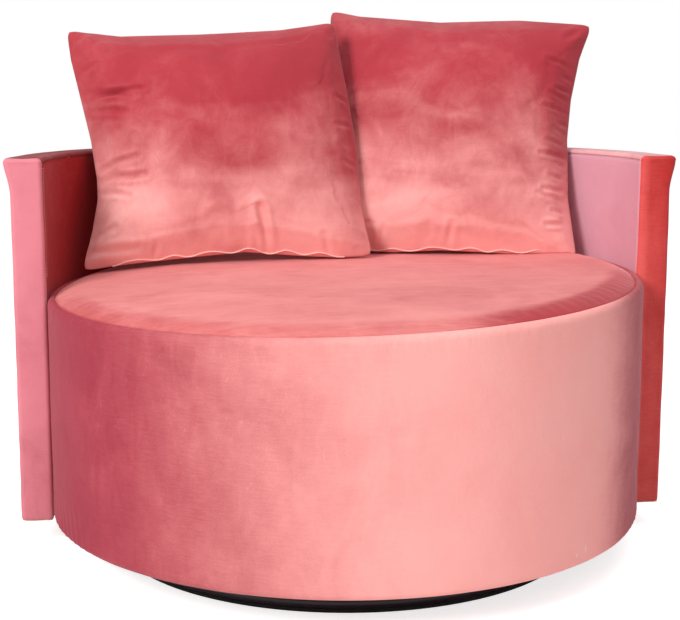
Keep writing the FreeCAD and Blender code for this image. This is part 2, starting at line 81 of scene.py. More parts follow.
# %% Wire and Recipe
class Wire:
    """A socket that understands + - * / and a few named functions."""

    def __init__(self, tree, socket):
        self.tree = tree
        self.socket = socket

    def math(self, operation, *values):
        settings = {"operation": operation}
        return new_node(self.tree, "ShaderNodeMath", settings, dict(enumerate(values)))

    def __add__(self, other):
        return self.math("ADD", self, other)

    def __sub__(self, other):
        return self.math("SUBTRACT", self, other)

    def __rsub__(self, other):
        return self.math("SUBTRACT", other, self)

    def __mul__(self, other):
        return self.math("MULTIPLY", self, other)

    def __truediv__(self, other):
        return self.math("DIVIDE", self, other)

    def size(self):
        return self.math("ABSOLUTE", self)

    def root(self):
        return self.math("SQRT", self)

    def sine(self):
        return self.math("SINE", self)

    def clamped(self):
        return self.math("MINIMUM", self.math("MAXIMUM", self, 0.0), 1.0)

    def smooth(self, low, high):
        """0 below low, 1 above high and an S curve between them."""
        settings = {"interpolation_type": "SMOOTHSTEP"}
        values = dict(enumerate((self, low, high, 0.0, 1.0)))
        return new_node(self.tree, "ShaderNodeMapRange", settings, values)

    __radd__ = __add__
    __rmul__ = __mul__


def feed(tree, slot, value):
    """Link a wire to a socket, or set the socket's own value."""
    if isinstance(value, Wire):
        tree.links.new(value.socket, slot)
    else:
        slot.default_value = value


def new_node(tree, kind, settings=None, values=None, output=0):
    """Add one node, set it up, feed its sockets and return one of its outputs as a wire."""
    node = tree.nodes.new(kind)
    for key, value in (settings or {}).items():
        if key == "stops":
            set_stops(node.color_ramp, value)
        else:
            setattr(node, key, value)
    for key, value in (values or {}).items():
        feed(tree, node.inputs[key], value)
    return Wire(tree, node.outputs[output])


class Recipe:
    """One material under construction."""

    def __init__(self, name):
        self.material = bpy.data.materials.new(name)
        self.material.use_nodes = True
        self.tree = self.material.node_tree
        self.shader = self.tree.nodes["Principled BSDF"]
        self.place = self.node("ShaderNodeTexCoord", output="Object")

    def node(self, kind, settings=None, values=None, output=0):
        return new_node(self.tree, kind, settings, values, output)

    def xyz(self):
        """The three coordinates of a place on the chair, as wires."""
        parts = self.node("ShaderNodeSeparateXYZ", values={0: self.place})
        return [Wire(self.tree, part) for part in parts.socket.node.outputs]

    def stretched(self, scale, turn=(0.0, 0.0, 0.0)):
        values = {"Vector": self.place, "Scale": scale, "Rotation": turn}
        return self.node("ShaderNodeMapping", values=values)

    def clouds(self, scale, detail=2.0, rough=0.5, place=None, warp=0.0):
        values = {"Vector": place or self.place, "Scale": scale, "Detail": detail,
                  "Roughness": rough, "Distortion": warp}
        return self.node("ShaderNodeTexNoise", values=values)

    def mix(self, factor, one, two, blend="MIX"):
        """Mix two colours, which go into the sockets 6 and 7 of a Mix node."""
        settings = {"data_type": "RGBA", "blend_type": blend}
        return self.node("ShaderNodeMix", settings, {0: factor, 6: one, 7: two}, output=2)

    def bump(self, height, distance, strength=1.0, below=None):
        values = {"Height": height, "Distance": distance, "Strength": strength}
        if below is not None:
            values["Normal"] = below
        return self.node("ShaderNodeBump", values=values)

    def finish(self, **sockets):
        for key, value in sockets.items():
            feed(self.tree, self.shader.inputs[key.replace("_", " ")], value)
        return self.material

    def surface(self, tone, dark, light, rough, relief, height, strength, **sockets):
        """Finish with a colour between two tones and a bump that is height metres high."""
        colour = self.mix(tone, rgb(*dark), rgb(*light))
        bumps = self.bump(relief, height, strength)
        return self.finish(Base_Color=colour, Roughness=rough, Normal=bumps, **sockets)


def set_stops(ramp, stops):
    while len(ramp.elements) < len(stops):
        ramp.elements.new(0.5)
    for element, (position, colour) in zip(ramp.elements, stops):
        element.position = position
        element.color = colour


def rgb(red, green, blue):
    """Screen colour from 0 to 255 as the linear values that Blender mixes."""
    linear = []
    for part in (red, green, blue):
        share = part / 255.0
        linear.append(share / 12.92 if share <= 0.04045 else ((share + 0.055) / 1.055) ** 2.4)
    return (*linear, 1.0)


print("shader language ready")

# %% [markdown]
# ## Velvet
# Velvet is short pile standing on a woven ground. Three things make it look like velvet: a soft glow
# where the surface turns away (sheen), pale and dark patches where the pile was stroked one way or
# the other, and a very fine grain. Over them, a slow change between a deep and a pale colour is painted
# light and shade of the pile, so every panel gets its own, and clouds of noise break it up. The deep
# and pale colours also differ from piece to piece, as lit and shaded copies of one velvet.

# %% Make a velvet
# Each noise is given by its scale in waves per metre, its detail and its roughness.
patch_noise = (7.0, 3.0, 0.55)
stroke_noise = (26.0, 4.0, 0.6)
scuff_noise = (64.0, 2.0, 0.5)
pucker_noise = (38.0, 3.0, 0.55)
thread_noise = (150.0, 3.0, 0.65)
grain_noise = (900.0, 1.0, 0.5)
pile_height = 0.0006
pucker_height = 0.0026
crease_height = 0.0025


def velvet(name, deep, pale, pile_shading, mottle=0.35, creases=None, stroke_way=(1.0, 1.0, 0.45),
           sheen=0.5, weave=0.22):
    """Velvet between two colours. pile_shading(recipe) gives the wire that says how pale each place is, which
    is painted light and shade.
    """
    recipe = Recipe(name)
    thread_way = recipe.stretched((0.25, 0.25, 2.4))
    scuff_way = recipe.stretched((1.0, 1.0, 0.5), (0.3, 0.5, 0.2))
    patches = recipe.clouds(*patch_noise, warp=0.6) - 0.5
    strokes = recipe.clouds(*stroke_noise, place=recipe.stretched(stroke_way), warp=1.2) - 0.5
    threads = recipe.clouds(*thread_noise, place=thread_way) - 0.5
    scuffs = recipe.clouds(*scuff_noise, place=scuff_way, warp=2.0).smooth(0.66, 0.78)
    grain = recipe.clouds(*grain_noise)
    # pile_shading is painted light and shade; the noises added to it are the cloth's own random tone.
    pale_share = pile_shading(recipe) + patches * mottle + strokes * (mottle * 0.8)
    pale_share = pale_share + threads * weave + (grain - 0.5) * 0.22 + scuffs * (weave * 0.6)
    colour = recipe.mix(pale_share.smooth(0.0, 1.0), rgb(*deep), rgb(*pale))
    stops = [(0.30, rgb(176, 72, 84)), (0.70, rgb(255, 184, 184))]
    tint = recipe.node("ShaderNodeValToRGB", {"stops": stops}, {"Fac": patches + 0.5})
    colour = recipe.mix(0.18, colour, tint, "SOFT_LIGHT")
    rough = 0.72 + (grain - 0.5) * 0.12 - patches * 0.10
    normal = recipe.bump(grain + threads * 0.8, pile_height, 0.4)
    normal = recipe.bump(recipe.clouds(*pucker_noise), pucker_height, 0.42, normal)
    if creases is not None:
        normal = recipe.bump(creases(recipe), crease_height, 0.7, normal)
    return recipe.finish(Base_Color=colour, Roughness=rough, Normal=normal, Sheen_Weight=sheen,
                         Sheen_Roughness=0.42, Sheen_Tint=rgb(255, 196, 200), Specular_IOR_Level=0.22)


print("velvet ready")

# %% [markdown]
# ## Mesh helpers
# Every piece is made in place with its object at the origin, so that Object coordinates are the
# chair's own coordinates and nothing slides when the chair is posed.

# %% Turn points and faces into a piece
def placed(name, data):
    """A new object at the origin that carries some data."""
    thing = bpy.data.objects.new(name, data)
    bpy.context.collection.objects.link(thing)
    return thing


def piece(name, points, faces, material, body, nodes=()):
    mesh = bpy.data.meshes.new(name)
    mesh.from_pydata([tuple(p) for p in points], [], faces)
    mesh.validate()
    mesh.shade_smooth()
    mesh.materials.append(material)
    thing = placed(name, mesh)
    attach(thing, body)
    if nodes:
        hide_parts(*nodes)
    return thing


def outwards(thing):
    """Merge doubles and point every face out of the closed shell."""
    work = bmesh.new()
    work.from_mesh(thing.data)
    bmesh.ops.remove_doubles(work, verts=work.verts, dist=1e-6)
    bmesh.ops.recalc_face_normals(work, faces=work.faces)
    work.to_mesh(thing.data)
    work.free()
    return thing


def lathe(profile, around, bend=None):
    """Points and faces of a closed profile turned about the swivel axis. bend moves each point."""
    count = len(profile)
    points = []
    faces = []
    for i in range(around):
        angle = 2.0 * math.pi * i / around
        for radius, height in profile:
            point = Vector((radius * math.cos(angle), radius * math.sin(angle), height))
            points.append(bend(point, angle) if bend else point)
        after = (i + 1) % around
        for k in range(count):
            n = (k + 1) % count
            faces.append((i * count + k, after * count + k, after * count + n, i * count + n))
    return points, faces


def smooth_step(value, low, high):
    share = min(1.0, max(0.0, (value - low) / (high - low)))
    return share * share * (3.0 - 2.0 * share)


def wobble(place, scale, seed=0.0):
    """Smooth noise from -1 to 1."""
    return noise.noise(Vector(place) * scale + Vector((seed, seed * 0.7, -seed)))


def uneven(place, *layers):
    """Padding that isn't quite even: layers of noise, each with its height, scale and seed."""
    return sum(height * wobble(place, scale, seed) for height, scale, seed in layers)


print("mesh helpers ready")

# %% [markdown]
# ## The drum's side band
# One long strip of velvet wraps the drum. It is turned under at the bottom and sewn to the top panel
# without piping. On the real chair that seam isn't level: it runs up towards the viewer's right and
# towards the back, so the whole rim is tilted by one plane.

# %% The seam's plane and the side band
seam_middle = 0.4862
seam_slope = (0.0315, 0.0165)
seam_dip = 0.0036
tilt_in_middle = 0.3
under_edge = 0.012
band_edge = drum_r - seam_r
hem_r = drum_r - 0.050
band_rows = 36


def seam_height(x, y):
    return seam_middle + seam_slope[0] * x + seam_slope[1] * y


def tilt_at(x, y):
    """How far the cloth stands above the level CAD seat; the tilt dies out towards the middle."""
    rim_tilt = seam_height(x, y) - seam_middle
    near_rim = smooth_step(math.hypot(x, y), 0.28, 0.53)
    return seam_middle - seam_z + rim_tilt * (tilt_in_middle + (1.0 - tilt_in_middle) * near_rim)


def arc_points(centre, radius, start, end, steps):
    """Points on an arc, in degrees counted from the outward direction."""
    arc = []
    for i in range(steps + 1):
        a = math.radians(start + (end - start) * i / steps)
        arc.append((centre[0] + radius * math.cos(a), centre[1] + radius * math.sin(a)))
    return arc


band_foot = drum_low + under_edge
band_head = seam_z - band_edge
band_profile = [(hem_r, drum_low), (drum_r - 3 * under_edge, drum_low)]
band_profile += arc_points((drum_r - under_edge, band_foot), under_edge, -90, 0, 6)
band_profile += [(drum_r, band_foot + (band_head - band_foot) * i / band_rows) for i in range(1, band_rows)]
band_profile += arc_points((seam_r, band_head), band_edge, 0, 90, 6)
band_profile[-1] = (seam_r, seam_z - seam_dip)
inner_side = [(seam_r, seam_z - seam_dip - cloth), (drum_r - cloth, band_head), (drum_r - cloth, band_foot),
              (drum_r - under_edge, drum_low + cloth), (hem_r, drum_low + cloth)]
print("band profile", len(band_profile), "points outside and", len(inner_side), "inside")

# %% [markdown]
# The band lies over foam, so it isn't a true cylinder. It swells a little between its seams, is uneven
# by a millimetre, and gathers in small folds at the lower edge, where the drum turns away from the
# viewer. Its colour is painted light and shade: dark rose at the left, salmon right of the middle, and
# dark again at the far right, where the band turns away.

# %% Bend and dress the side band
band_foam = ((0.0011, 5.0, 3.0), (0.0006, 17.0, 9.0))
band_swell = 0.0016
band_draw_in = 0.0012
fold_depth = 0.0016
fold_reach = 0.10
folds_round = 150.0
fold_slant = 60.0


def band_bend(point, angle):
    """Tilt the rim, let the foam swell a little and pull small folds in at the lower edge."""
    share = smooth_step(point.z, band_foot, seam_z)
    tilt = seam_height(point.x, point.y) - seam_z
    clear_of_back = smooth_step(-point.y, 0.03, 0.09)
    outward = Vector((math.cos(angle), math.sin(angle), 0))
    side = smooth_step(abs(math.cos(angle)), 0.80, 0.97)
    low = 1.0 - smooth_step(point.z, drum_low, drum_low + fold_reach)
    fold = fold_depth * side * low * math.sin(angle * folds_round + point.z * fold_slant)
    swell = band_swell * math.sin(math.pi * share)
    keep = clear_of_back if point.x ** 2 + point.y ** 2 > (hem_r + 0.01) ** 2 else 0.0
    moved = point + outward * (uneven(point, *band_foam) + fold + swell - band_draw_in) * keep
    moved.z += tilt * share
    return moved


def band_painted_shading(recipe):
    """Painted light and shade: dark rose at the left, salmon right of the middle and dark again at the far
    right.
    """
    x = recipe.xyz()[0]
    salmon = x.smooth(-0.62, 0.26)
    far_right = x.smooth(0.35, 0.49)
    return salmon * 0.98 - far_right * 0.74


def band_creases(recipe):
    """Fine puckers where the stitches draw the cloth in, just under the seam."""
    x, y, z = recipe.xyz()
    below = seam_middle + x * seam_slope[0] + y * seam_slope[1] - z
    near = 1.0 - below.smooth(0.004, 0.045)
    return recipe.clouds(60.0, 2.0, 0.6, place=recipe.stretched((1.0, 1.0, 0.25))) * near


band_velvet = velvet("velvet_band", (150, 44, 64), (255, 178, 173), band_painted_shading, 0.20, band_creases,
                     sheen=0.22, weave=0.13)
points, faces = lathe(band_profile + inner_side, 540, band_bend)
band = piece("seat_side_band", points, faces, band_velvet, "seat", ["seat_side_cover"])
outwards(band)
print("side band faces", len(band.data.polygons))

# %% [markdown]
# ## The domed top panel
# A round panel over soft foam. Just inside the seam the cloth rolls up steeply, and from there it rises
# very gently to the middle.

# %% Top panel
roll_width = 0.056
roll_rise = 0.012
roll_power = 2.4
dome_rise = 0.006
dome_r = seam_r - roll_width
top_foam = ((0.0014, 6.0, 21.0), (0.0006, 19.0, 4.0))
pull_depth = 0.0007
pulls_round = 118.0


def top_height(radius):
    """Height over the seam at a radius."""
    if radius <= dome_r:
        return roll_rise + dome_rise * (1.0 - (radius / dome_r) ** 2)
    share = (radius - dome_r) / roll_width
    slope = 2.0 * dome_rise / dome_r * roll_width
    return roll_rise - slope * share - (roll_rise - slope + seam_dip) * share ** roll_power


def top_bend(point, angle):
    """Tilt the panel with the rim, leave the foam uneven and pull it down at the stitches."""
    radius = math.hypot(point.x, point.y)
    free = 1.0 - smooth_step(radius, seam_r - 0.02, seam_r)
    pull = pull_depth * math.sin(angle * pulls_round) * smooth_step(radius, dome_r, seam_r - 0.012)
    moved = point.copy()
    moved.z += tilt_at(point.x, point.y) + (uneven(point, *top_foam) + pull) * free
    return moved


def top_painted_shading(recipe):
    """Even rose on the top, with painted light towards the front and painted shade along the front right
    roll, in the seam and at the far right.
    """
    x, y, z = recipe.xyz()
    radius = (x * x + y * y).root()
    nearer = y * -1.0
    front = nearer.smooth(0.38, 0.54)
    right = x.smooth(0.05, 0.45)
    far_right = x.smooth(0.30, 0.52)
    roll = radius.smooth(seam_r - 0.064, seam_r - 0.018) * nearer.smooth(0.0, 0.25)
    # The seam's groove is painted darker, as painted shade.
    stitched = radius.smooth(seam_r - 0.006, seam_r - 0.001)
    pale = 0.68 + front * 0.20 - roll * (right * 0.85 + 0.30)
    return pale - stitched * 0.30 - far_right * 0.12


top_velvet = velvet("velvet_top", (172, 54, 62), (230, 146, 142), top_painted_shading, 0.52, stroke_way=(0.35, 1.6, 1.0))
radii = [seam_r * (i / 72.0) ** 0.8 for i in range(73)]
upper = [(r, seam_z + top_height(r)) for r in radii]
lower = [(r, z - cloth) for r, z in reversed(upper)]
points, faces = lathe(upper + lower, 420, top_bend)
top = piece("seat_top_panel", points, faces, top_velvet, "seat", ["seat_top_cover"])
outwards(top)
print("top panel faces", len(top.data.polygons))

# %% [markdown]
# The foam under the panel is one cut block. It follows the tilted rim as well, or it would stand out of
# the cloth at the left, where the rim is lowest.

# %% Seat foam
foam_gap = 0.0036
foam_r = drum_r - cloth - 0.0006
foam_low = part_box("seat_foam")[0][2]


def foam_bend(point, angle):
    """The block's top follows the panel, and its underside stays level."""
    moved = top_bend(point, angle)
    moved.z = point.z + (moved.z - point.z) * smooth_step(point.z, foam_low, foam_low + 0.05)
    return moved


def foam(name):
    recipe = Recipe(name)
    cells = recipe.node("ShaderNodeTexVoronoi", values={"Vector": recipe.place, "Scale": 450.0})
    tone = recipe.clouds(9.0, 2.0, 0.5)
    return recipe.surface(tone, (226, 214, 176), (244, 236, 208), 0.92 - cells * 0.1, cells, 0.0008, 0.7)


foam_cells = foam("foam_cells")
foam_top = [(r, seam_z + top_height(r) - foam_gap) for r in radii[::3] if r < seam_r - 0.008]
foam_side = [(foam_r, band_head - 0.004), (foam_r, (band_head + foam_low) / 2.0), (foam_r, foam_low),
             (0.0, foam_low)]
points, faces = lathe(foam_top + foam_side, 180, foam_bend)
block = piece("seat_foam_block", points, faces, foam_cells, "seat", ["seat_foam"])
outwards(block)
print("foam block faces", len(block.data.polygons))

# %% [markdown]
# ## The wrap-around back
# The back is a padded box bent round the drum, so it is made as one: a rounded box in a straight space,
# with its length along the arc, is bent round the axis. The box's grid is then parted where the real
# cover has its seams, which gives the inner, outer, top and two front panels with edges that meet.

# %% A rounded box, bent round the drum
wrap_edge = 0.009
wrap_mid_r = (wrap_in_r + wrap_out_r) / 2.0
grid_steps = (0.0085, 0.009, 0.0085)


def end_angle(radius):
    """How far past the sideways direction the arm runs forward at this radius."""
    return math.asin(-front_y / radius)


wrap_length = wrap_mid_r * (math.pi + 2.0 * end_angle(wrap_mid_r))


def grid_lines(low, high, step, edge=wrap_edge):
    """Lines from low to high, close together over both rounded edges."""
    bend = [edge * (1.0 - math.tan(math.radians(45.0 * k / 4))) for k in range(4, 0, -1)]
    count = max(2, round((high - low - 2 * edge) / step))
    flat = [low + edge + (high - low - 2 * edge) * i / count for i in range(count + 1)]
    return [low + b for b in bend] + flat + [high - b for b in reversed(bend)]


def rounded(place, low, high):
    """Pull a point of the box's surface onto the rounded box."""
    core = [min(h - wrap_edge, max(l + wrap_edge, c)) for c, l, h in zip(place, low, high)]
    way = Vector(place) - Vector(core)
    return Vector(core) + way.normalized() * wrap_edge if way.length > 1e-9 else Vector(place)


def bent(along, radius, height):
    """From the straight space to the chair: along 0 is the front of the right arm."""
    past = end_angle(radius)
    angle = -past + (math.pi + 2.0 * past) * along / wrap_length
    return Vector((radius * math.cos(angle), radius * math.sin(angle), height))


box_low = (0.0, wrap_in_r, wrap_low_z)
box_high = (wrap_length, wrap_out_r, wrap_top)
lines = [grid_lines(l, h, step) for l, h, step in zip(box_low, box_high, grid_steps)]
print("grid lines", [len(group) for group in lines])

# %% [markdown]
# The padding under the velvet isn't perfectly even. The cover is moved in and out by a millimetre of
# slow noise, drawn into a shallow groove along every seam, and flared at the top of the two front
# outer corners, where the photograph shows the stuffing pushing out.

# %% Panels of the back
wrap_foam = ((0.0011, 7.0, 12.0), (0.0006, 23.0, 5.0))
edge_noise = (4.0, 30.0)
edge_rise = 0.0016
end_rise = 0.0010
seam_groove = 0.0013
groove_width = 0.006
flare = 0.011
flare_down = 0.065
flare_along = 0.09
hem_reach = 0.020


def panel_of(place):
    """The cover panel that a point of the straight box belongs to."""
    along, radius, height = place
    if min(along, wrap_length - along) < wrap_edge:
        return "arm_front_right" if along < wrap_length / 2.0 else "arm_front_left"
    if height > wrap_top - wrap_edge:
        return "back_top"
    return "back_inner" if radius < wrap_mid_r else "back_outer"


def wrap_skin(place):
    """Where a point of the straight box's surface lies on the finished cover."""
    soft = rounded(place, box_low, box_high)
    along, radius, height = soft
    end = min(along, wrap_length - along)
    to_front = abs(end - wrap_edge)
    to_top = abs(height - (wrap_top - wrap_edge))
    is_face = end > wrap_edge - 1e-6 and height < wrap_top - wrap_edge + 1e-6
    groove = math.exp(-(to_front / groove_width) ** 2)
    if is_face or to_top < 0.001:
        groove = max(groove, math.exp(-(to_top / groove_width) ** 2))
    outward = 1.0 if radius > wrap_mid_r else -1.0
    middle = 1.0 - abs(radius - wrap_mid_r) / (wrap_mid_r - wrap_in_r)
    spot = bent(along, radius, height)
    puff = uneven(spot, *wrap_foam)
    above = smooth_step(height, seam_middle + 0.01, seam_middle + 0.06)
    free = 1.0 if outward > 0 else above
    move = puff * free - seam_groove * groove
    radius += outward * move * (1.0 - middle) * (free if outward < 0 else 1.0)
    if height > wrap_top - wrap_edge:
        height += move * middle + edge_rise * middle * wobble(spot, *edge_noise)
    if end < wrap_edge:
        forward = 1.0 if along > wrap_length / 2.0 else -1.0
        along += forward * (move * middle + end_rise * middle)
    lift = smooth_step(height, wrap_top - flare_down, wrap_top)
    outer_share = max(0.0, (radius - wrap_in_r) / (wrap_out_r - wrap_in_r))
    radius += flare * (1.0 - smooth_step(end, 0.0, flare_along)) * lift * outer_share
    return bent(along, radius, height)


def box_faces():
    """Every quad of the box's surface as four places in the straight space."""
    for axis in range(3):
        one, two = [k for k in range(3) if k != axis]
        for end in (0, -1):
            for i in range(len(lines[one]) - 1):
                for j in range(len(lines[two]) - 1):
                    corners = []
                    for di, dj in ((0, 0), (1, 0), (1, 1), (0, 1)):
                        place = [0.0, 0.0, 0.0]
                        place[axis] = lines[axis][end]
                        place[one] = lines[one][i + di]
                        place[two] = lines[two][j + dj]
                        corners.append(tuple(place))
                    yield corners


panels = {}
for corners in box_faces():
    middle = [sum(c[k] for c in corners) / 4.0 for k in range(3)]
    soft_middle = rounded(middle, box_low, box_high)
    if soft_middle[2] < wrap_low_z + 1e-4 and wrap_in_r + hem_reach < middle[1] < wrap_out_r - hem_reach:
        continue
    spots, quads = panels.setdefault(panel_of(soft_middle), ({}, []))
    quads.append([spots.setdefault(tuple(round(c, 7) for c in corner), len(spots)) for corner in corners])

print({name: len(quads) for name, (spots, quads) in panels.items()})

# %% [markdown]
# Each panel takes its own velvet. In the photograph the inner wall is almost wine red at the left, where
# it lies in shade, and a pale lilac pink at the right, where the window lights it; the two arm fronts
# differ as well, and the top edge is greyer where the light grazes the pile. All this is painted into
# the panels' colours as painted light and shade.

# %% Velvets of the back, and its panels
panel_thick = 0.0015


def inner_painted_light(recipe):
    # Painted shade at the left, where the wall faces away from the window lamp, and painted light towards the
    # right and the top.
    x, y, z = recipe.xyz()
    return 0.02 + x.smooth(-0.30, 0.50) * 0.95 + (z - 0.60) * 0.5


def outer_painted_light(recipe):
    # Painted light at the left, which faces the window lamp, and painted shade towards the right.
    return 0.75 - recipe.xyz()[0].smooth(-0.58, 0.60) * 0.45


def front_painted_light(recipe):
    """Pale on the left arm and darker on the right arm, as painted light and shade; painted shade towards the
    right arm's outer edge, and painted light and shade that change with height.
    """
    x, y, z = recipe.xyz()
    right_arm = x.smooth(-0.2, 0.2)
    outer_edge = x.smooth(0.58, 0.62)
    # A painted highlight down the right arm's rounded inner corner.
    corner_highlight = x.smooth(0.50, 0.53) - x.smooth(0.556, 0.572)
    upper = (z - 0.50) * 0.14 - x.smooth(0.0, 0.2) * (z - 0.45) * 0.6
    return 0.92 - right_arm * 0.46 - outer_edge * 0.20 + upper + corner_highlight * 0.26


def top_edge_painted_light(recipe):
    # Painted shade at the left, where the light grazes the top edge, and painted light towards the right.
    return 0.12 + recipe.xyz()[0].smooth(-0.3, 0.3) * 0.68


# Each panel has its CAD node, deep colour, pale colour, painted light and shade, mottling and sheen.
# The deep and pale colours differ from panel to panel as painted light and shade on one velvet: the
# inner wall's deep colour is painted shade, and the two arm fronts are a lit and a shaded copy.
back_panels = {
    "back_inner": ("back_inner_cover", (152, 6, 10), (218, 166, 182), inner_painted_light, 0.30, 0.15),
    "back_outer": ("back_outer_cover", (168, 62, 72), (240, 158, 156), outer_painted_light, 0.34, 0.5),
    "back_top": ("back_top_cover", (120, 24, 30), (236, 186, 188), top_edge_painted_light, 0.50, 0.2),
    "arm_front_left": ("arm_front_covers", (146, 56, 70), (212, 130, 142), front_painted_light, 0.60, 0.5),
    "arm_front_right": ("arm_front_covers", (184, 40, 38), (240, 108, 104), front_painted_light, 0.34, 0.5),
}


def wrap_inward(spot):
    """Roughly where the middle of the back's padding is, to tell a panel's inside from its outside."""
    flat = Vector((spot.x, spot.y, 0)).normalized() * wrap_mid_r
    return Vector((flat.x, max(flat.y, front_y + 0.03), min(spot.z, wrap_top - 0.03)))


for name, (spots, quads) in panels.items():
    cad_twin, deep, pale, pile_shading, mottle, sheen = back_panels[name]
    fabric = velvet("velvet_" + name, deep, pale, pile_shading, mottle, sheen=sheen)
    points = [wrap_skin(place) for place in spots]
    panel = piece(name + "_panel", points, quads, fabric, "seat", [cad_twin])
    outwards(panel)
    face = panel.data.polygons[len(panel.data.polygons) // 2]
    if face.normal.dot(face.center - wrap_inward(face.center)) < 0:
        panel.data.flip_normals()
    thick = panel.modifiers.new("cloth", "SOLIDIFY")
    thick.thickness = panel_thick
    thick.offset = -1.0
    print(panel.name, len(panel.data.polygons))

# %% [markdown]
# ## The two loose cushions
# Each cushion is two velvet squares sewn together round their edges and stuffed, so it is highest in
# the middle and thins out to the seam. Its outline was measured in the photograph, in the cushion's
# own plane. The pillow starts a little flat and slack inside that outline, and Blender's cloth blows
# it up, which gives the puckers along the seams that no drawn curve has.

# %% Outlines of the cushions, in millimetres across and up from the middle
cushion_half_height = 0.258
cushion_crown = 0.090


class Cushion:
    """One cushion: where it stands, how it is turned, and its outline as four measured edges."""

    def __init__(self, name, foot, lean, turn, roll, seed, painted_light_below, **edges):
        self.name = name
        self.foot = Vector(foot)
        turned, leaning, rolled = [Matrix.Rotation(math.radians(angle), 3, axis)
                                   for angle, axis in ((turn, "Z"), (-lean, "X"), (-roll, "Y"))]
        self.turned = turned @ leaning @ rolled
        self.seed = seed
        # Below this height the velvet is painted paler, as painted light on the cushion's lower part.
        self.painted_light_below = painted_light_below
        self.edges = edges

    def edge(self, name, share):
        """Point of one outline edge, at share from -1 to 1 along it."""
        marks = np.array(self.edges[name], dtype=float)
        along = 1 if name in ("left", "right") else 0
        ends = marks[0, along], marks[-1, along]
        want = ends[0] + (ends[1] - ends[0]) * (share + 1.0) / 2.0
        other = np.interp(want, marks[:, along], marks[:, 1 - along])
        pair = (want, other) if along == 0 else (other, want)
        return np.array(pair) / 1000.0

    def place(self, across, depth, up):
        """From the cushion's own plane to the chair."""
        return self.foot + self.turned @ Vector((across, depth, up + cushion_half_height))


left_cushion = Cushion(
    "left_cushion", (-0.212, 0.159, 0.5022), lean=21.0, turn=2.5, roll=2.2, seed=11.0, painted_light_below=0.845,
    left=[(-289, -261), (-266, -178), (-253, -117), (-252, -76), (-260, 7), (-275, 92), (-290, 177),
          (-295, 242)],
    right=[(287, -261), (274, -160), (277, -42), (267, 99), (258, 184), (255, 243)],
    top=[(-295, 242), (-267, 237), (-188, 226), (-26, 225), (139, 229), (255, 243)],
    bottom=[(-289, -260), (-235, -254), (-157, -249), (-59, -244), (31, -240), (139, -254), (219, -262),
            (287, -261)])
right_cushion = Cushion(
    "right_cushion", (0.214, 0.2208, 0.5049), lean=21.0, turn=-14.5, roll=-2.6, seed=47.0, painted_light_below=0.885,
    left=[(-286, -262), (-268, -150), (-262, 0), (-268, 150), (-278, 270)],
    right=[(283, -251), (258, -126), (248, 3), (250, 90), (261, 179), (281, 258)],
    top=[(-278, 270), (-212, 259), (-38, 252), (130, 263), (281, 258)],
    bottom=[(-286, -262), (-98, -261), (4, -250), (127, -248), (283, -251)])
print("cushions placed")

# %% [markdown]
# ### The slack pillow
# A square grid is wrapped over the outline: the four edges are blended inwards, the corners are
# rounded, and the two sheets share their rim. Rows lie closer near the rim, where the cloth bends most.

# %% Build the slack pillow
sheet_rows = 92
rim_crowding = 0.38
corner_power = 40.0
slack = 0.72
swell_power = 0.58


def over_square(a, b, left, right, bottom, top, corner):
    """Blend over the square what its four edges say; corner[x, y] is what two edges say where they meet."""
    s, t = (a + 1.0) / 2.0, (b + 1.0) / 2.0
    blend = (1 - t) * bottom + t * top + (1 - s) * left + s * right
    blend = blend - ((1 - s) * (1 - t) * corner[-1.0, -1.0] + s * (1 - t) * corner[1.0, -1.0])
    return blend - ((1 - s) * t * corner[-1.0, 1.0] + s * t * corner[1.0, 1.0])


def pillow_spot(cushion, a, b):
    """Where a point of the square lies inside the cushion's outline."""
    corner = {(x, y): cushion.edge("bottom" if y < 0 else "top", x) for x in (-1.0, 1.0) for y in (-1.0, 1.0)}
    left, right = cushion.edge("left", b), cushion.edge("right", b)
    bottom, top = cushion.edge("bottom", a), cushion.edge("top", a)
    return over_square(a, b, left, right, bottom, top, corner)


def sheet_key(side, i, j):
    """Name of one point. The rim belongs to both sheets, so its side is 0."""
    rim = i in (0, sheet_rows) or j in (0, sheet_rows)
    return (0 if rim else side, i, j)


def pillow(cushion):
    """Points, faces and material shares of both sheets, in the cushion's own plane."""
    ticks = np.linspace(-1.0, 1.0, sheet_rows + 1)
    ticks = (1.0 - rim_crowding) * ticks + rim_crowding * np.sin(ticks * math.pi / 2.0)
    spots = {}
    points = []
    shares = []
    for side in (-1, 1):
        for j, b in enumerate(ticks):
            for i, a in enumerate(ticks):
                key = sheet_key(side, i, j)
                if key in spots:
                    continue
                reach = max(abs(a), abs(b))
                power = (abs(a) ** corner_power + abs(b) ** corner_power) ** (1.0 / corner_power)
                cut = reach / power if power > 0 else 1.0
                ca, cb = a * cut, b * cut
                spot = pillow_spot(cushion, ca, cb)
                swell = max(0.0, (1.0 - ca ** 2) * (1.0 - cb ** 2)) ** swell_power
                spots[key] = len(points)
                points.append((spot[0], key[0] * cushion_crown * slack * swell, spot[1]))
                shares.append((ca, cb, side))
    faces = []
    for side in (-1, 1):
        for j in range(sheet_rows):
            for i in range(sheet_rows):
                quad = [spots[sheet_key(side, i + di, j + dj)] for di, dj in ((0, 0), (1, 0), (1, 1), (0, 1))]
                faces.append(quad if side < 0 else quad[::-1])
    return points, faces, np.array(shares)


print("pillow rows", sheet_rows)

# %% [markdown]
# ### Blow it up
# Pressure pushes both sheets apart while the cloth is let out by a few percent, so there is more velvet
# than the outline needs, and it gathers at the seams. No point may move further than a cap, which
# keeps the cushion in the space that its CAD solid holds.

# %% Cloth with pressure
pillow_cloth = {
    "quality": 6, "mass": 0.25, "tension_stiffness": 14.0, "compression_stiffness": 9.0,
    "shear_stiffness": 5.0, "bending_stiffness": 0.15, "use_pressure": True,
    "uniform_pressure_force": 4.0, "shrink_min": -0.045,
}
cloth_frames = 22
move_cap = 0.026
plane_cap = 0.012
rim_share = 0.30
corner_share = 0.4


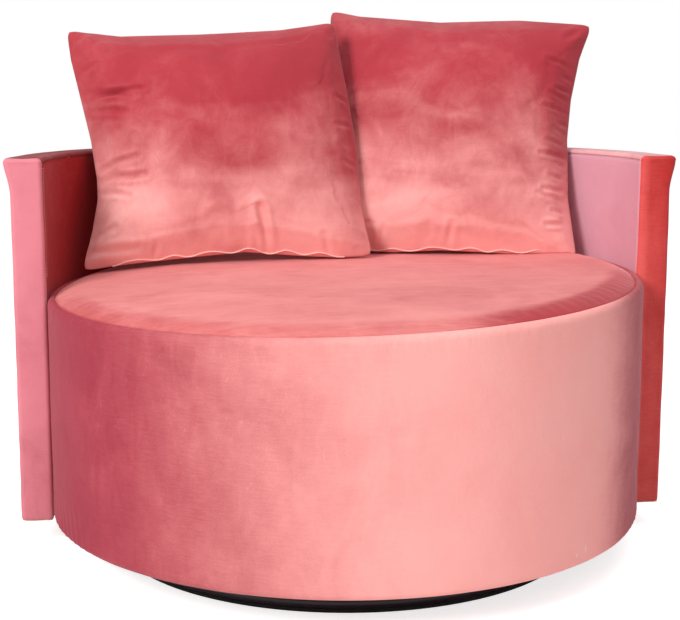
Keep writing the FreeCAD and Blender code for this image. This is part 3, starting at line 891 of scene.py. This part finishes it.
def blown_up(points, faces, shares):
    """The pillow's points after the cloth has settled. Corners are stitched tight, so they move least."""
    mesh = bpy.data.meshes.new("pillow")
    mesh.from_pydata(points, [], faces)
    thing = placed("pillow", mesh)
    cloth_step = thing.modifiers.new("pressure", "CLOTH")
    for key, value in pillow_cloth.items():
        setattr(cloth_step.settings, key, value)
    cloth_step.settings.effector_weights.gravity = 0.0
    cloth_step.collision_settings.use_collision = False
    scene = bpy.context.scene
    for step in range(1, cloth_frames + 1):
        scene.frame_set(step)
    done = thing.evaluated_get(bpy.context.evaluated_depsgraph_get()).data
    moved = np.array([v.co for v in done.vertices])
    bpy.data.objects.remove(thing)
    scene.frame_set(1)
    start = np.array(points)
    way = moved - start
    inside = np.clip((1.0 - shares[:, :1] ** 2) * (1.0 - shares[:, 1:2] ** 2), 0.0, 1.0)
    in_corner = (shares[:, :1] * shares[:, 1:2]) ** 4
    share = (rim_share + (1.0 - rim_share) * inside ** 0.3) * (1.0 - (1.0 - corner_share) * in_corner)
    flat = way * (1.0, 0.0, 1.0)
    length = np.linalg.norm(flat, axis=1, keepdims=True)
    flat *= np.minimum(1.0, plane_cap * share / np.maximum(length, 1e-9))
    deep = np.clip(way * (0.0, 1.0, 0.0), -move_cap * share, move_cap * share)
    held = start + flat + deep
    print("cloth moved up to", round(float(length.max()), 4), "mean", round(float(length.mean()), 4))
    return held


def edge_curve(values, ticks, degree=6):
    """Smooth curve through the way that one edge moved, as a function of the share along it."""
    fits = [np.polynomial.Polynomial.fit(ticks, values[:, k], degree) for k in (0, 1)]
    return lambda share: np.stack([fit(share) for fit in fits], axis=-1)


def back_on_outline(start, held, shares):
    """Undo the slow part of what the rim moved, so that the outline is the measured one again."""
    a, b = shares[:, 0], shares[:, 1]
    rim = np.abs(start[:, 1]) < 1e-9
    way = (held - start)[:, [0, 2]]
    moved = {}
    edges = {"left": (a < -0.9, b, a), "right": (a > 0.9, b, a),
             "bottom": (b < -0.9, a, b), "top": (b > 0.9, a, b)}
    for name, (mask, along, other) in edges.items():
        side = rim & mask & (np.abs(along) < np.abs(other) + 1e-9)
        moved[name] = edge_curve(way[side], along[side])
    corner = {}
    for x in (-1.0, 1.0):
        for y in (-1.0, 1.0):
            across = moved["bottom" if y < 0 else "top"](np.array(x))
            corner[x, y] = (across + moved["left" if x < 0 else "right"](np.array(y))) / 2.0
    blend = over_square(a[:, None], b[:, None], moved["left"](b), moved["right"](b),
                        moved["bottom"](a), moved["top"](a), corner)
    fixed = held.copy()
    fixed[:, [0, 2]] -= blend
    print("outline put back by up to", round(float(np.abs(blend).max()), 4))
    return fixed


print("cloth frames", cloth_frames)

# %% [markdown]
# ### Creases, dents and a flat foot
# The photograph shows pinches that fan from the left cushion's left seam, a crease that stands on its
# lower edge, and a ladder of short slanting wrinkles down the right cushion's right seam. They are
# narrower than the cloth's grid, so they are pressed in once the mesh has been refined. After that,
# every point that would sink into the seat, the back or the other cushion is moved out onto its skin.

# %% Press in the creases and set the cushion down
crease_gain = 1.75
slow_dents = (0.0048, 6.5)
fine_dents = (0.0015, 21.0)
seat_clearance = 0.0006
press_gap = 0.0005
press_reach = 0.030
left_creases = [
    ((-272, 96), (-168, 72), 5.0, 0.0060), ((-268, 78), (-150, 86), 4.0, 0.0050),
    ((-266, 62), (-185, 40), 4.0, 0.0055), ((-256, -66), (-170, -52), 4.5, 0.0055),
    ((-256, -84), (-158, -92), 5.0, 0.0060), ((-258, -104), (-190, -128), 3.5, 0.0050),
    ((76, -252), (62, -168), 6.0, 0.0075), ((58, -250), (52, -205), 3.5, 0.0060),
    ((-150, -250), (-142, -222), 3.0, 0.0055), ((-296, 236), (-262, 214), 5.0, 0.0080),
    ((200, -256), (186, -222), 3.0, 0.0060), ((262, 236), (236, 205), 3.5, 0.0070),
    ((-292, 196), (-250, 234), 5.5, 0.0065), ((-284, -232), (-180, -226), 5.0, 0.0070),
    ((-274, -206), (-222, -186), 3.5, 0.0060), ((-276, 140), (-232, 150), 3.0, 0.0060),
    ((268, 60), (236, 66), 2.5, 0.0050), ((268, 10), (232, 4), 2.5, 0.0050),
    ((272, -80), (238, -70), 2.5, 0.0050),
]
right_creases = [
    ((250, 150 - 24 * k), (196 + 11 * (k * 7 % 4), 158 - 24 * k - 6 * (k % 3)), 2.6 + 0.9 * (k % 3), 0.0045)
    for k in range(15)
] + [
    ((-262, 60), (-214, 44), 3.0, 0.0055), ((-262, -60), (-206, -78), 3.0, 0.0055),
    ((20, -246), (28, -205), 3.5, 0.0060), ((-120, -252), (-112, -220), 3.0, 0.0055),
    ((268, 248), (232, 214), 4.5, 0.0070), ((-268, 262), (-236, 226), 3.5, 0.0065),
]


def crease(across, up, start, end, depth, width):
    """How far a crease pushes each place in; its banks stand up a little. Ends and depth are in mm."""
    start = np.array(start) / 1000.0
    end = np.array(end) / 1000.0
    way = end - start
    share = ((across - start[0]) * way[0] + (up - start[1]) * way[1]) / (way @ way)
    near = np.clip(share, 0.0, 1.0)
    off = np.hypot(across - start[0] - near * way[0], up - start[1] - near * way[1])
    fade = np.sin(np.pi * np.clip(0.12 + 0.88 * (1.0 - near), 0.0, 1.0)) ** 0.7
    valley = np.exp(-(off / width) ** 2)
    bank = np.exp(-((off - 1.9 * width) / width) ** 2)
    return depth * crease_gain / 1000.0 * fade * (0.75 * bank - valley)


def seat_top_z(x, y):
    """Height of the domed top panel under a place."""
    radius = math.hypot(x, y)
    return seam_z + top_height(min(radius, seam_r)) + tilt_at(x, y)


def dressed(cushion, points, shares, creases):
    """Press in creases and dents, then lift what would be inside the seat."""
    across, depth, up = points[:, 0], points[:, 1], points[:, 2]
    inside = (1.0 - shares[:, 0] ** 2) * (1.0 - shares[:, 1] ** 2)
    full = np.clip(inside, 0.0, 1.0) ** 0.35
    push = sum(crease(across, up, *c) for c in creases)
    layers = ((*slow_dents, cushion.seed), (*fine_dents, cushion.seed + 5))
    dents = np.array([uneven((a, s, u), *layers) for a, s, u in zip(across, shares[:, 2], up)])
    moved = points.copy()
    moved[:, 1] = depth + shares[:, 2] * (push * full + dents * full)
    spots = []
    for a, d, u in moved:
        spot = cushion.place(a, d, u)
        floor_z = seat_top_z(spot.x, spot.y) + seat_clearance
        if spot.z < floor_z:
            spot.z = floor_z
        spots.append(spot)
    return spots


def skin_of(things):
    """Search tree over the drawn faces of some pieces, taken together."""
    corners = []
    faces = []
    for thing in things:
        first = len(corners)
        corners += [vertex.co.copy() for vertex in thing.data.vertices]
        faces += [[first + k for k in face.vertices] for face in thing.data.polygons]
    return BVHTree.FromPolygons(corners, faces)


def pressed_out(thing, skins):
    """Push every point that is inside a neighbour, or nearer than a hair, back onto its surface."""
    deepest = 0.0
    for skin in skins:
        for vertex in thing.data.vertices:
            spot, normal, face, distance = skin.find_nearest(vertex.co, press_reach)
            if spot is None:
                continue
            stand_off = (vertex.co - spot).dot(normal)
            if stand_off < press_gap:
                deepest = min(deepest, stand_off)
                vertex.co += normal * (press_gap - stand_off)
    thing.data.update()
    print(thing.name, "pressed out of its neighbours by up to", round(-deepest, 4))


def cushion_painted_light(cushion):
    """Painted light and shade: deep rose in the upper middle and paler towards the foot, in soft slanting
    patches.
    """
    def pile_shading(recipe):
        x, y, z = recipe.xyz()
        slant = recipe.stretched((1.0, 1.0, 2.2), (0.0, 0.7, 0.0))
        drift = recipe.clouds(5.0, 2.0, 0.5, place=slant, warp=0.8) - 0.5
        low = ((cushion.painted_light_below + drift * 0.26 - z) * 2.6).clamped()
        middle = 1.0 - (x - cushion.foot.x).size() * 2.4
        rim = z.smooth(0.93, 1.0)
        left_edge = 1.0 - x.smooth(cushion.foot.x - 0.29, cushion.foot.x - 0.20)
        right_edge = x.smooth(cushion.foot.x + 0.18, cushion.foot.x + 0.27)
        # Painted light on the lower part, along the top seam and at the left edge; painted shade in the
        # middle and at the right edge.
        pale = low * 0.92 + rim * 0.14 - middle * 0.05
        return pale + left_edge * 0.05 - right_edge * 0.22 + 0.08
    return pile_shading


def make_cushion(cushion, creases, skins):
    """The finished pad. The shares ride on the mesh while it is refined, so that creases come out crisp."""
    points, faces, shares = pillow(cushion)
    held = back_on_outline(np.array(points), blown_up(points, faces, shares), shares)
    fabric = velvet("velvet_" + cushion.name, (166, 50, 62), (253, 186, 182), cushion_painted_light(cushion), 0.34,
                    stroke_way=(1.0, 1.0, 0.6), weave=0.06)
    thing = piece(cushion.name + "_pad", held, faces, fabric, cushion.name,
                  [cushion.name + "_cover", cushion.name + "_fill"])
    rim = np.abs(np.array(points)[:, 1]) < 1e-9
    shares[rim, 2] = 0.0
    layer = thing.data.attributes.new("share", "FLOAT_VECTOR", "POINT")
    layer.data.foreach_set("vector", shares.ravel())
    finer = thing.modifiers.new("finer", "SUBSURF")
    finer.levels = 1
    finer.render_levels = 1
    bpy.context.view_layer.objects.active = thing
    bpy.ops.object.modifier_apply(modifier="finer")
    count = len(thing.data.vertices)
    spots = np.empty(count * 3)
    shares = np.empty(count * 3)
    thing.data.vertices.foreach_get("co", spots)
    thing.data.attributes["share"].data.foreach_get("vector", shares)
    thing.data.attributes.remove(thing.data.attributes["share"])
    shares = shares.reshape(-1, 3)
    spots = dressed(cushion, spots.reshape(-1, 3), shares, creases)
    for vertex, spot in zip(thing.data.vertices, spots):
        vertex.co = spot
    on_rim = np.abs(shares[:, 2]) < 1e-6
    seam = [(shares[k, 0], spots[k]) for k in range(count) if shares[k, 1] < -0.9 and on_rim[k]]
    outwards(thing)
    pressed_out(thing, skins)
    print(thing.name, len(thing.data.polygons))
    return thing, sorted(seam, key=lambda pair: pair[0])


back_skin = skin_of([bpy.data.objects[name + "_panel"] for name in panels])
right_pad, right_rim = make_cushion(right_cushion, right_creases, [back_skin])
left_rim = make_cushion(left_cushion, left_creases, [back_skin, skin_of([right_pad])])[1]

# %% [markdown]
# ### The zip's lip
# Along the lower seam of each cushion runs a concealed zip. Its lip is a narrow double band of velvet
# that stands off the seam, lies on the seat in front of the cushion and waves in and out, so that dark
# gaps show between it and the seat.

# %% Make both lips
lip_share = 0.80
lip_steps = 220
lip_width = 0.0085
lip_thick = 0.0026
lip_waves = 88.0
lip_lift = 0.0012
wave_lift = 0.0042
lip_corners = 5


def zip_lip(cushion, rim, material):
    """A wavy ribbon along the lower seam, closed all round its section."""
    rim = [(share, spot) for share, spot in rim if abs(share) < 0.995]
    marks = np.array([share for share, spot in rim])
    track = [np.array([spot[k] for share, spot in rim]) for k in range(3)]
    front = cushion.turned @ Vector((0, -1, 0))
    out = Vector((front.x, front.y, 0)).normalized()
    rise = Vector((0, 0, 1))
    half = rise * lip_thick / 2.0
    points = []
    faces = []
    for i in range(lip_steps + 1):
        share = lip_share * (2.0 * i / lip_steps - 1.0)
        spot = Vector([float(np.interp(share, marks, t)) for t in track])
        wave = 0.6 * math.sin(spot.x * lip_waves + cushion.seed + 2.0 * wobble(spot, 9.0, cushion.seed))
        wave += 0.5 * wobble(spot, 30.0, cushion.seed + 2)
        taper = 1.0 - smooth_step(abs(share), lip_share - 0.10, lip_share)
        middle = spot + rise * (lip_lift + wave_lift * (wave + 1.0) * taper)
        reach = lip_width * (0.35 + 0.65 * taper) * (1.0 + 0.35 * wave)
        tip = middle + out * reach + rise * (lip_lift * wave)
        tip.z = max(tip.z, seat_top_z(tip.x, tip.y) + lip_thick * 0.6 + seat_clearance)
        inner = middle - out * 0.002
        base = len(points)
        points += [inner - half, tip - half, tip + out * 0.0010, tip + half, inner + half]
        if i:
            for k in range(lip_corners):
                n = (k + 1) % lip_corners
                faces.append((base - lip_corners + k, base + k, base + n, base - lip_corners + n))
    faces.append(tuple(range(lip_corners)))
    faces.append(tuple(reversed(range(len(points) - lip_corners, len(points)))))
    thing = piece(cushion.name + "_lip", points, faces, material, cushion.name,
                  [cushion.name + "_zip"])
    return outwards(thing)


def lip_painted_light(recipe):
    return recipe.xyz()[0] * 0.0 + 0.85


# The lip is the cushions' velvet, painted evenly paler as painted light on its raised edge.
lip_velvet = velvet("velvet_lip", (206, 104, 108), (255, 206, 198), lip_painted_light, 0.3)
for cushion, rim in ((left_cushion, left_rim), (right_cushion, right_rim)):
    print(zip_lip(cushion, rim, lip_velvet).name)

# %% [markdown]
# ## The floor ring
# One bent steel tube carries the whole chair on a thin rubber strip. It is finished in a dark powder
# coat, which is almost black, faintly purple and has the fine orange-peel of baked paint.

# %% Make the ring
ring_corners = 28


def powder_coat(name):
    recipe = Recipe(name)
    peel = recipe.clouds(420.0, 2.0, 0.5)
    dust = recipe.clouds(14.0, 4.0, 0.6).smooth(0.50, 0.75)
    return recipe.surface(dust * 0.35, (34, 19, 29), (78, 56, 70), 0.34 + dust * 0.16, peel, 0.0004, 0.25,
                          Coat_Weight=0.25, Coat_Roughness=0.25)


ring_low, ring_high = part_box("base_ring")
ring_tube = (ring_high[2] - ring_low[2]) / 2.0
ring_r = ring_high[0] - ring_tube
ring_z = ring_low[2] + ring_tube
turns = [2 * math.pi * k / ring_corners for k in range(ring_corners)]
section = [(ring_r + ring_tube * math.cos(a), ring_z + ring_tube * math.sin(a)) for a in turns]
points, faces = lathe(section, 360)
ring_coat = powder_coat("coat_ring")
ring = piece("base_ring_tube", points, faces, ring_coat, "base", ["base_ring"])
outwards(ring)
print("ring", round(ring_r, 4), round(ring_tube, 4))

# %% [markdown]
# ## Stitches
# The arm fronts are closed by hand with a ladder stitch, the last seam that an upholsterer makes, and
# it shows as a row of tiny bars down the inner front corner of each arm. A Geometry Nodes group sets
# one bar after another along a drawn line: it resamples the line, puts a bar on every point, tilts it
# a little by a seeded random turn, and makes the bars real.

# %% A node group that sews along a line
def sewing_group():
    group = bpy.data.node_groups.new("Sewing", "GeometryNodeTree")
    face = group.interface
    face.new_socket("Line", in_out="INPUT", socket_type="NodeSocketGeometry")
    for name, kind, value in (("Pitch", "NodeSocketFloat", 0.004), ("Length", "NodeSocketFloat", 0.003),
                              ("Thread", "NodeSocketFloat", 0.0004), ("Seed", "NodeSocketInt", 7),
                              ("Finish", "NodeSocketMaterial", None)):
        socket = face.new_socket(name, in_out="INPUT", socket_type=kind)
        if value is not None:
            socket.default_value = value
    face.new_socket("Stitches", in_out="OUTPUT", socket_type="NodeSocketGeometry")
    give, take = group.nodes.new("NodeGroupInput"), group.nodes.new("NodeGroupOutput")

    def node(kind, **values):
        made = group.nodes.new(kind)
        for key, value in values.items():
            slot = made.inputs[key.replace("_", " ")]
            if isinstance(value, bpy.types.NodeSocket):
                group.links.new(value, slot)
            else:
                slot.default_value = value
        return made

    bar = node("GeometryNodeCurvePrimitiveLine", Start=(0, 0, 0))
    lengthwise = node("ShaderNodeCombineXYZ", X=give.outputs["Length"])
    group.links.new(lengthwise.outputs[0], bar.inputs["End"])
    ring_profile = node("GeometryNodeCurvePrimitiveCircle", Resolution=6, Radius=give.outputs["Thread"])
    thread = node("GeometryNodeCurveToMesh", Curve=bar.outputs[0], Profile_Curve=ring_profile.outputs[0])
    thread.inputs["Fill Caps"].default_value = True
    spots = node("GeometryNodeResampleCurve", Curve=give.outputs["Line"])
    mode = spots.inputs.get("Mode")
    if mode is not None:
        mode.default_value = "Length"
    else:
        spots.mode = "LENGTH"
    group.links.new(give.outputs["Pitch"], spots.inputs["Length"])
    turn = group.nodes.new("FunctionNodeRandomValue")
    turn.data_type = "FLOAT_VECTOR"
    turn.inputs["Min"].default_value = (-0.15, -0.15, -0.15)
    turn.inputs["Max"].default_value = (0.15, 0.15, 0.15)
    group.links.new(give.outputs["Seed"], turn.inputs["Seed"])
    tangent = group.nodes.new("GeometryNodeInputTangent")
    lie = node("FunctionNodeAlignRotationToVector", Vector=tangent.outputs[0])
    lie.axis = "Z"
    skew = node("FunctionNodeRotateRotation", Rotation=lie.outputs[0])
    group.links.new(turn.outputs[0], skew.inputs[1])
    sown = node("GeometryNodeInstanceOnPoints", Points=spots.outputs[0], Instance=thread.outputs[0],
                Rotation=skew.outputs[0])
    real = node("GeometryNodeRealizeInstances", Geometry=sown.outputs[0])
    dyed = node("GeometryNodeSetMaterial", Geometry=real.outputs[0], Material=give.outputs["Finish"])
    group.links.new(dyed.outputs[0], take.inputs[0])
    return group


print("sewing group ready")

# %% [markdown]
# ### Two rows of stitches
# The rows start just above the seat's seam and end below the top edge. They follow the finished cover
# of the back, groove and all, so the thread lies on the velvet and not in it.

# %% Sew the arm fronts
def thread_colour(name):
    recipe = Recipe(name)
    twist = recipe.clouds(1500.0, 2.0, 0.5)
    colour = recipe.mix(twist, rgb(206, 92, 96), rgb(250, 178, 170))
    return recipe.finish(Base_Color=colour, Roughness=0.6 + twist * 0.2)


def sew(name, line):
    """Bars along one line of points, as a mesh of its own."""
    track = bpy.data.curves.new(name + "_line", "CURVE")
    track.dimensions = "3D"
    run = track.splines.new("POLY")
    run.points.add(len(line) - 1)
    for spot, place in zip(run.points, line):
        spot.co = (*place, 1.0)
    guide = placed(name + "_line", track)
    step = guide.modifiers.new("sewing", "NODES")
    step.node_group = sewing
    for item in sewing.interface.items_tree:
        if item.in_out == "INPUT" and item.name in stitch:
            step[item.identifier] = stitch[item.name]
    depsgraph = bpy.context.evaluated_depsgraph_get()
    mesh = bpy.data.meshes.new_from_object(guide.evaluated_get(depsgraph))
    bpy.data.objects.remove(guide)
    thing = placed(name, mesh)
    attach(thing, "seat")
    print(name, "faces", len(mesh.polygons))
    return thing


sewing = sewing_group()
stitch = {"Pitch": 0.0045, "Length": 0.0030, "Thread": 0.0006, "Seed": 7,
          "Finish": thread_colour("sewing_thread")}
row_steps = 59
row_low = seam_middle + 0.02
row_height = wrap_top - wrap_edge - seam_middle - 0.03
for name, along in (("right_arm_stitches", wrap_edge), ("left_arm_stitches", wrap_length - wrap_edge)):
    heights = [row_low + row_height * k / row_steps for k in range(row_steps + 1)]
    sew(name, [wrap_skin((along, wrap_in_r, height)) for height in heights])

# %% [markdown]
# ## Finishes of the hidden frame
# Nothing of the inside shows in the photograph, but the chair can be turned over and taken apart, so
# timber has grain, hardboard is flecked, foam has cells and steel is brushed.

# %% Materials for the carried-over CAD nodes
def timber(name):
    recipe = Recipe(name)
    bands = {"wave_type": "BANDS", "bands_direction": "Y"}
    values = {"Vector": recipe.stretched((1.0, 1.0, 0.12)), "Scale": 22.0, "Distortion": 7.0,
              "Detail": 3.0, "Detail Scale": 1.4}
    rings = recipe.node("ShaderNodeTexWave", bands, values, output=1)
    pores = recipe.clouds(260.0, 3.0, 0.6, place=recipe.stretched((1.0, 1.0, 0.06)))
    tone = rings * 0.7 + pores * 0.3
    return recipe.surface(tone, (176, 138, 92), (222, 190, 142), 0.58 + pores * 0.2, pores, 0.0006, 0.4)


def hardboard(name):
    recipe = Recipe(name)
    flecks = recipe.clouds(320.0, 4.0, 0.7)
    tone = flecks.smooth(0.35, 0.7)
    return recipe.surface(tone, (92, 64, 42), (140, 104, 72), 0.70 - flecks * 0.15, flecks, 0.0004, 0.5)


def brushed_steel(name, along=(1.0, 1.0, 14.0), bright=190, rough=0.30):
    recipe = Recipe(name)
    brush = recipe.clouds(150.0, 3.0, 0.6, place=recipe.stretched(along))
    spangle = recipe.node("ShaderNodeTexVoronoi", values={"Vector": recipe.place, "Scale": 70.0})
    dark = (bright - 26, bright - 22, bright - 16)
    light = (bright, bright + 4, bright + 8)
    return recipe.surface(spangle, dark, light, rough + brush * 0.18, brush, 0.0002, 0.3, Metallic=1.0)


def moulded(name, dark, light, rough):
    recipe = Recipe(name)
    skin = recipe.clouds(300.0, 3.0, 0.55)
    return recipe.surface(skin, dark, light, rough + skin * 0.12, skin, 0.0003, 0.4)


def woven(name, dark, light, threads):
    recipe = Recipe(name)
    x, y, z = recipe.xyz()
    weave = (x * threads).sine() * (y * threads).sine() * 0.5 + 0.5
    return recipe.surface(weave, dark, light, 0.86 - weave * 0.1, weave, 0.0004, 0.6)


finishes = {
    "foam": (foam_cells, ["seat_side_foam", "back_padding"]),
    "timber": (timber("timber_grain"), [
        "swivel_spacer", "seat_bottom_board", "seat_posts", "seat_top_ring", "back_bottom_rail",
        "back_top_rail", "back_ribs", "arm_front_boards"]),
    "hardboard": (hardboard("hardboard_flecks"), ["seat_side_board", "back_inner_skin", "back_outer_skin"]),
    "black_ring": (ring_coat, ["base_cross"]),
    "zinc_steel": (brushed_steel("zinc_plate"), [
        "swivel_lower_plate", "swivel_upper_plate", "lower_plate_bolts", "upper_plate_bolts", "tie_bolts",
        "tie_tee_nuts"]),
    "bearing_steel": (brushed_steel("bearing_steel", (1, 1, 1), 222, 0.08), ["bearing_balls"]),
    "cage_nylon": (moulded("cage_nylon", (216, 212, 190), (236, 232, 214), 0.42), ["bearing_cage"]),
    "glide_rubber": (moulded("glide_rubber", (16, 16, 17), (34, 33, 34), 0.62), ["base_glide_strip"]),
    "webbing": (woven("elastic_webbing", (30, 28, 28), (66, 62, 60), 1400.0), ["seat_webbing"]),
    "dust_cloth": (woven("dust_cloth", (12, 12, 12), (34, 33, 34), 2200.0), ["seat_dust_cover"]),
}
for slot_name, (material, names) in finishes.items():
    for node_name in names:
        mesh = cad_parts[node_name].data
        mesh.materials.clear()
        mesh.materials.append(material)
    print(slot_name, names)

# %% [markdown]
# ## Stage, camera and light
# The chair stands on a white floor that only keeps its shadow. The light is one large soft window at
# the left in front, which is why the left inner wall is dark and the right one glows, together with the
# painted shade and light in that wall's velvet, and a weak soft lamp above fills the shadows.

# %% Stage
floor_glow = 0.72
floor_reach = 9
world_light = 0.42


def white_floor():
    """White for the camera wherever light falls, but with the chair's shadow kept."""
    recipe = Recipe("floor_white")
    grain = recipe.clouds(3.0, 2.0, 0.5)
    colour = recipe.mix(grain * 0.03, rgb(250, 250, 250), rgb(244, 244, 245))
    recipe.finish(Base_Color=colour, Roughness=0.85)
    plain = Wire(recipe.tree, recipe.shader.outputs[0])
    bright = recipe.node("ShaderNodeBsdfPrincipled", values={
        "Base Color": colour, "Roughness": 0.85, "Emission Color": (1.0, 1.0, 1.0, 1.0),
        "Emission Strength": floor_glow})
    seen = recipe.node("ShaderNodeLightPath", output="Is Camera Ray")
    choice = recipe.node("ShaderNodeMixShader", values={0: seen, 1: plain, 2: bright})
    feed(recipe.tree, recipe.tree.nodes["Material Output"].inputs["Surface"], choice)
    return recipe.material


floor_mesh = bpy.data.meshes.new("floor")
floor_corners = [(x * floor_reach, y * floor_reach, 0) for x, y in ((-1, -1), (1, -1), (1, 1), (-1, 1))]
floor_mesh.from_pydata(floor_corners, [], [(0, 1, 2, 3)])
floor_mesh.materials.append(white_floor())
placed("floor", floor_mesh)

world = bpy.data.worlds.new("studio")
bpy.context.scene.world = world
world.use_nodes = True
background = world.node_tree.nodes["Background"]
background.inputs["Color"].default_value = (1.0, 1.0, 1.0, 1.0)
seen = new_node(world.node_tree, "ShaderNodeLightPath", output="Is Camera Ray")
mapped = {0: seen, 1: 0.0, 2: 1.0, 3: world_light, 4: 1.0}
strength = new_node(world.node_tree, "ShaderNodeMapRange", values=mapped)
feed(world.node_tree, background.inputs["Strength"], strength)


def lamp(name, place, target, size, energy, colour=(1.0, 1.0, 1.0)):
    light = bpy.data.lights.new(name, "AREA")
    light.shape = "RECTANGLE"
    light.size, light.size_y = size
    light.energy = energy
    light.color = colour
    thing = placed(name, light)
    thing.location = place
    thing.rotation_euler = (Vector(target) - Vector(place)).to_track_quat("-Z", "Y").to_euler()
    print("lamp", name, energy)


lamp("window", (-2.6, -2.6, 2.5), (0.0, 0.0, 0.55), (1.5, 1.5), 120.0, (1.0, 0.98, 0.95))
lamp("ceiling", (0.3, -0.6, 3.4), (0.0, 0.0, 0.4), (3.0, 3.0), 45.0)

# %% [markdown]
# ## Camera
# Its place was found from the photograph: the drum's ellipses, the ring and the upright edges of the
# arms fix one viewpoint, a little left of the middle, 84 cm up and looking 9 degrees down.

# %% Camera
camera_data = bpy.data.cameras.new("photographer")
camera_data.lens = 72.32
camera_data.sensor_width = 36.0
camera = placed("photographer", camera_data)
right_way = Vector((0.99470, -0.10283, 0.00086))
up_way = Vector((0.01554, 0.15861, 0.98722))
forward_way = Vector((0.10165, 0.98197, -0.15936))
camera.rotation_euler = Matrix((right_way, up_way, -forward_way)).transposed().to_euler()
camera.location = (-0.2723, -2.5325, 0.840)
bpy.context.scene.camera = camera
bpy.context.scene.view_settings.view_transform = "Standard"
print("camera", [round(c, 4) for c in camera.rotation_euler])
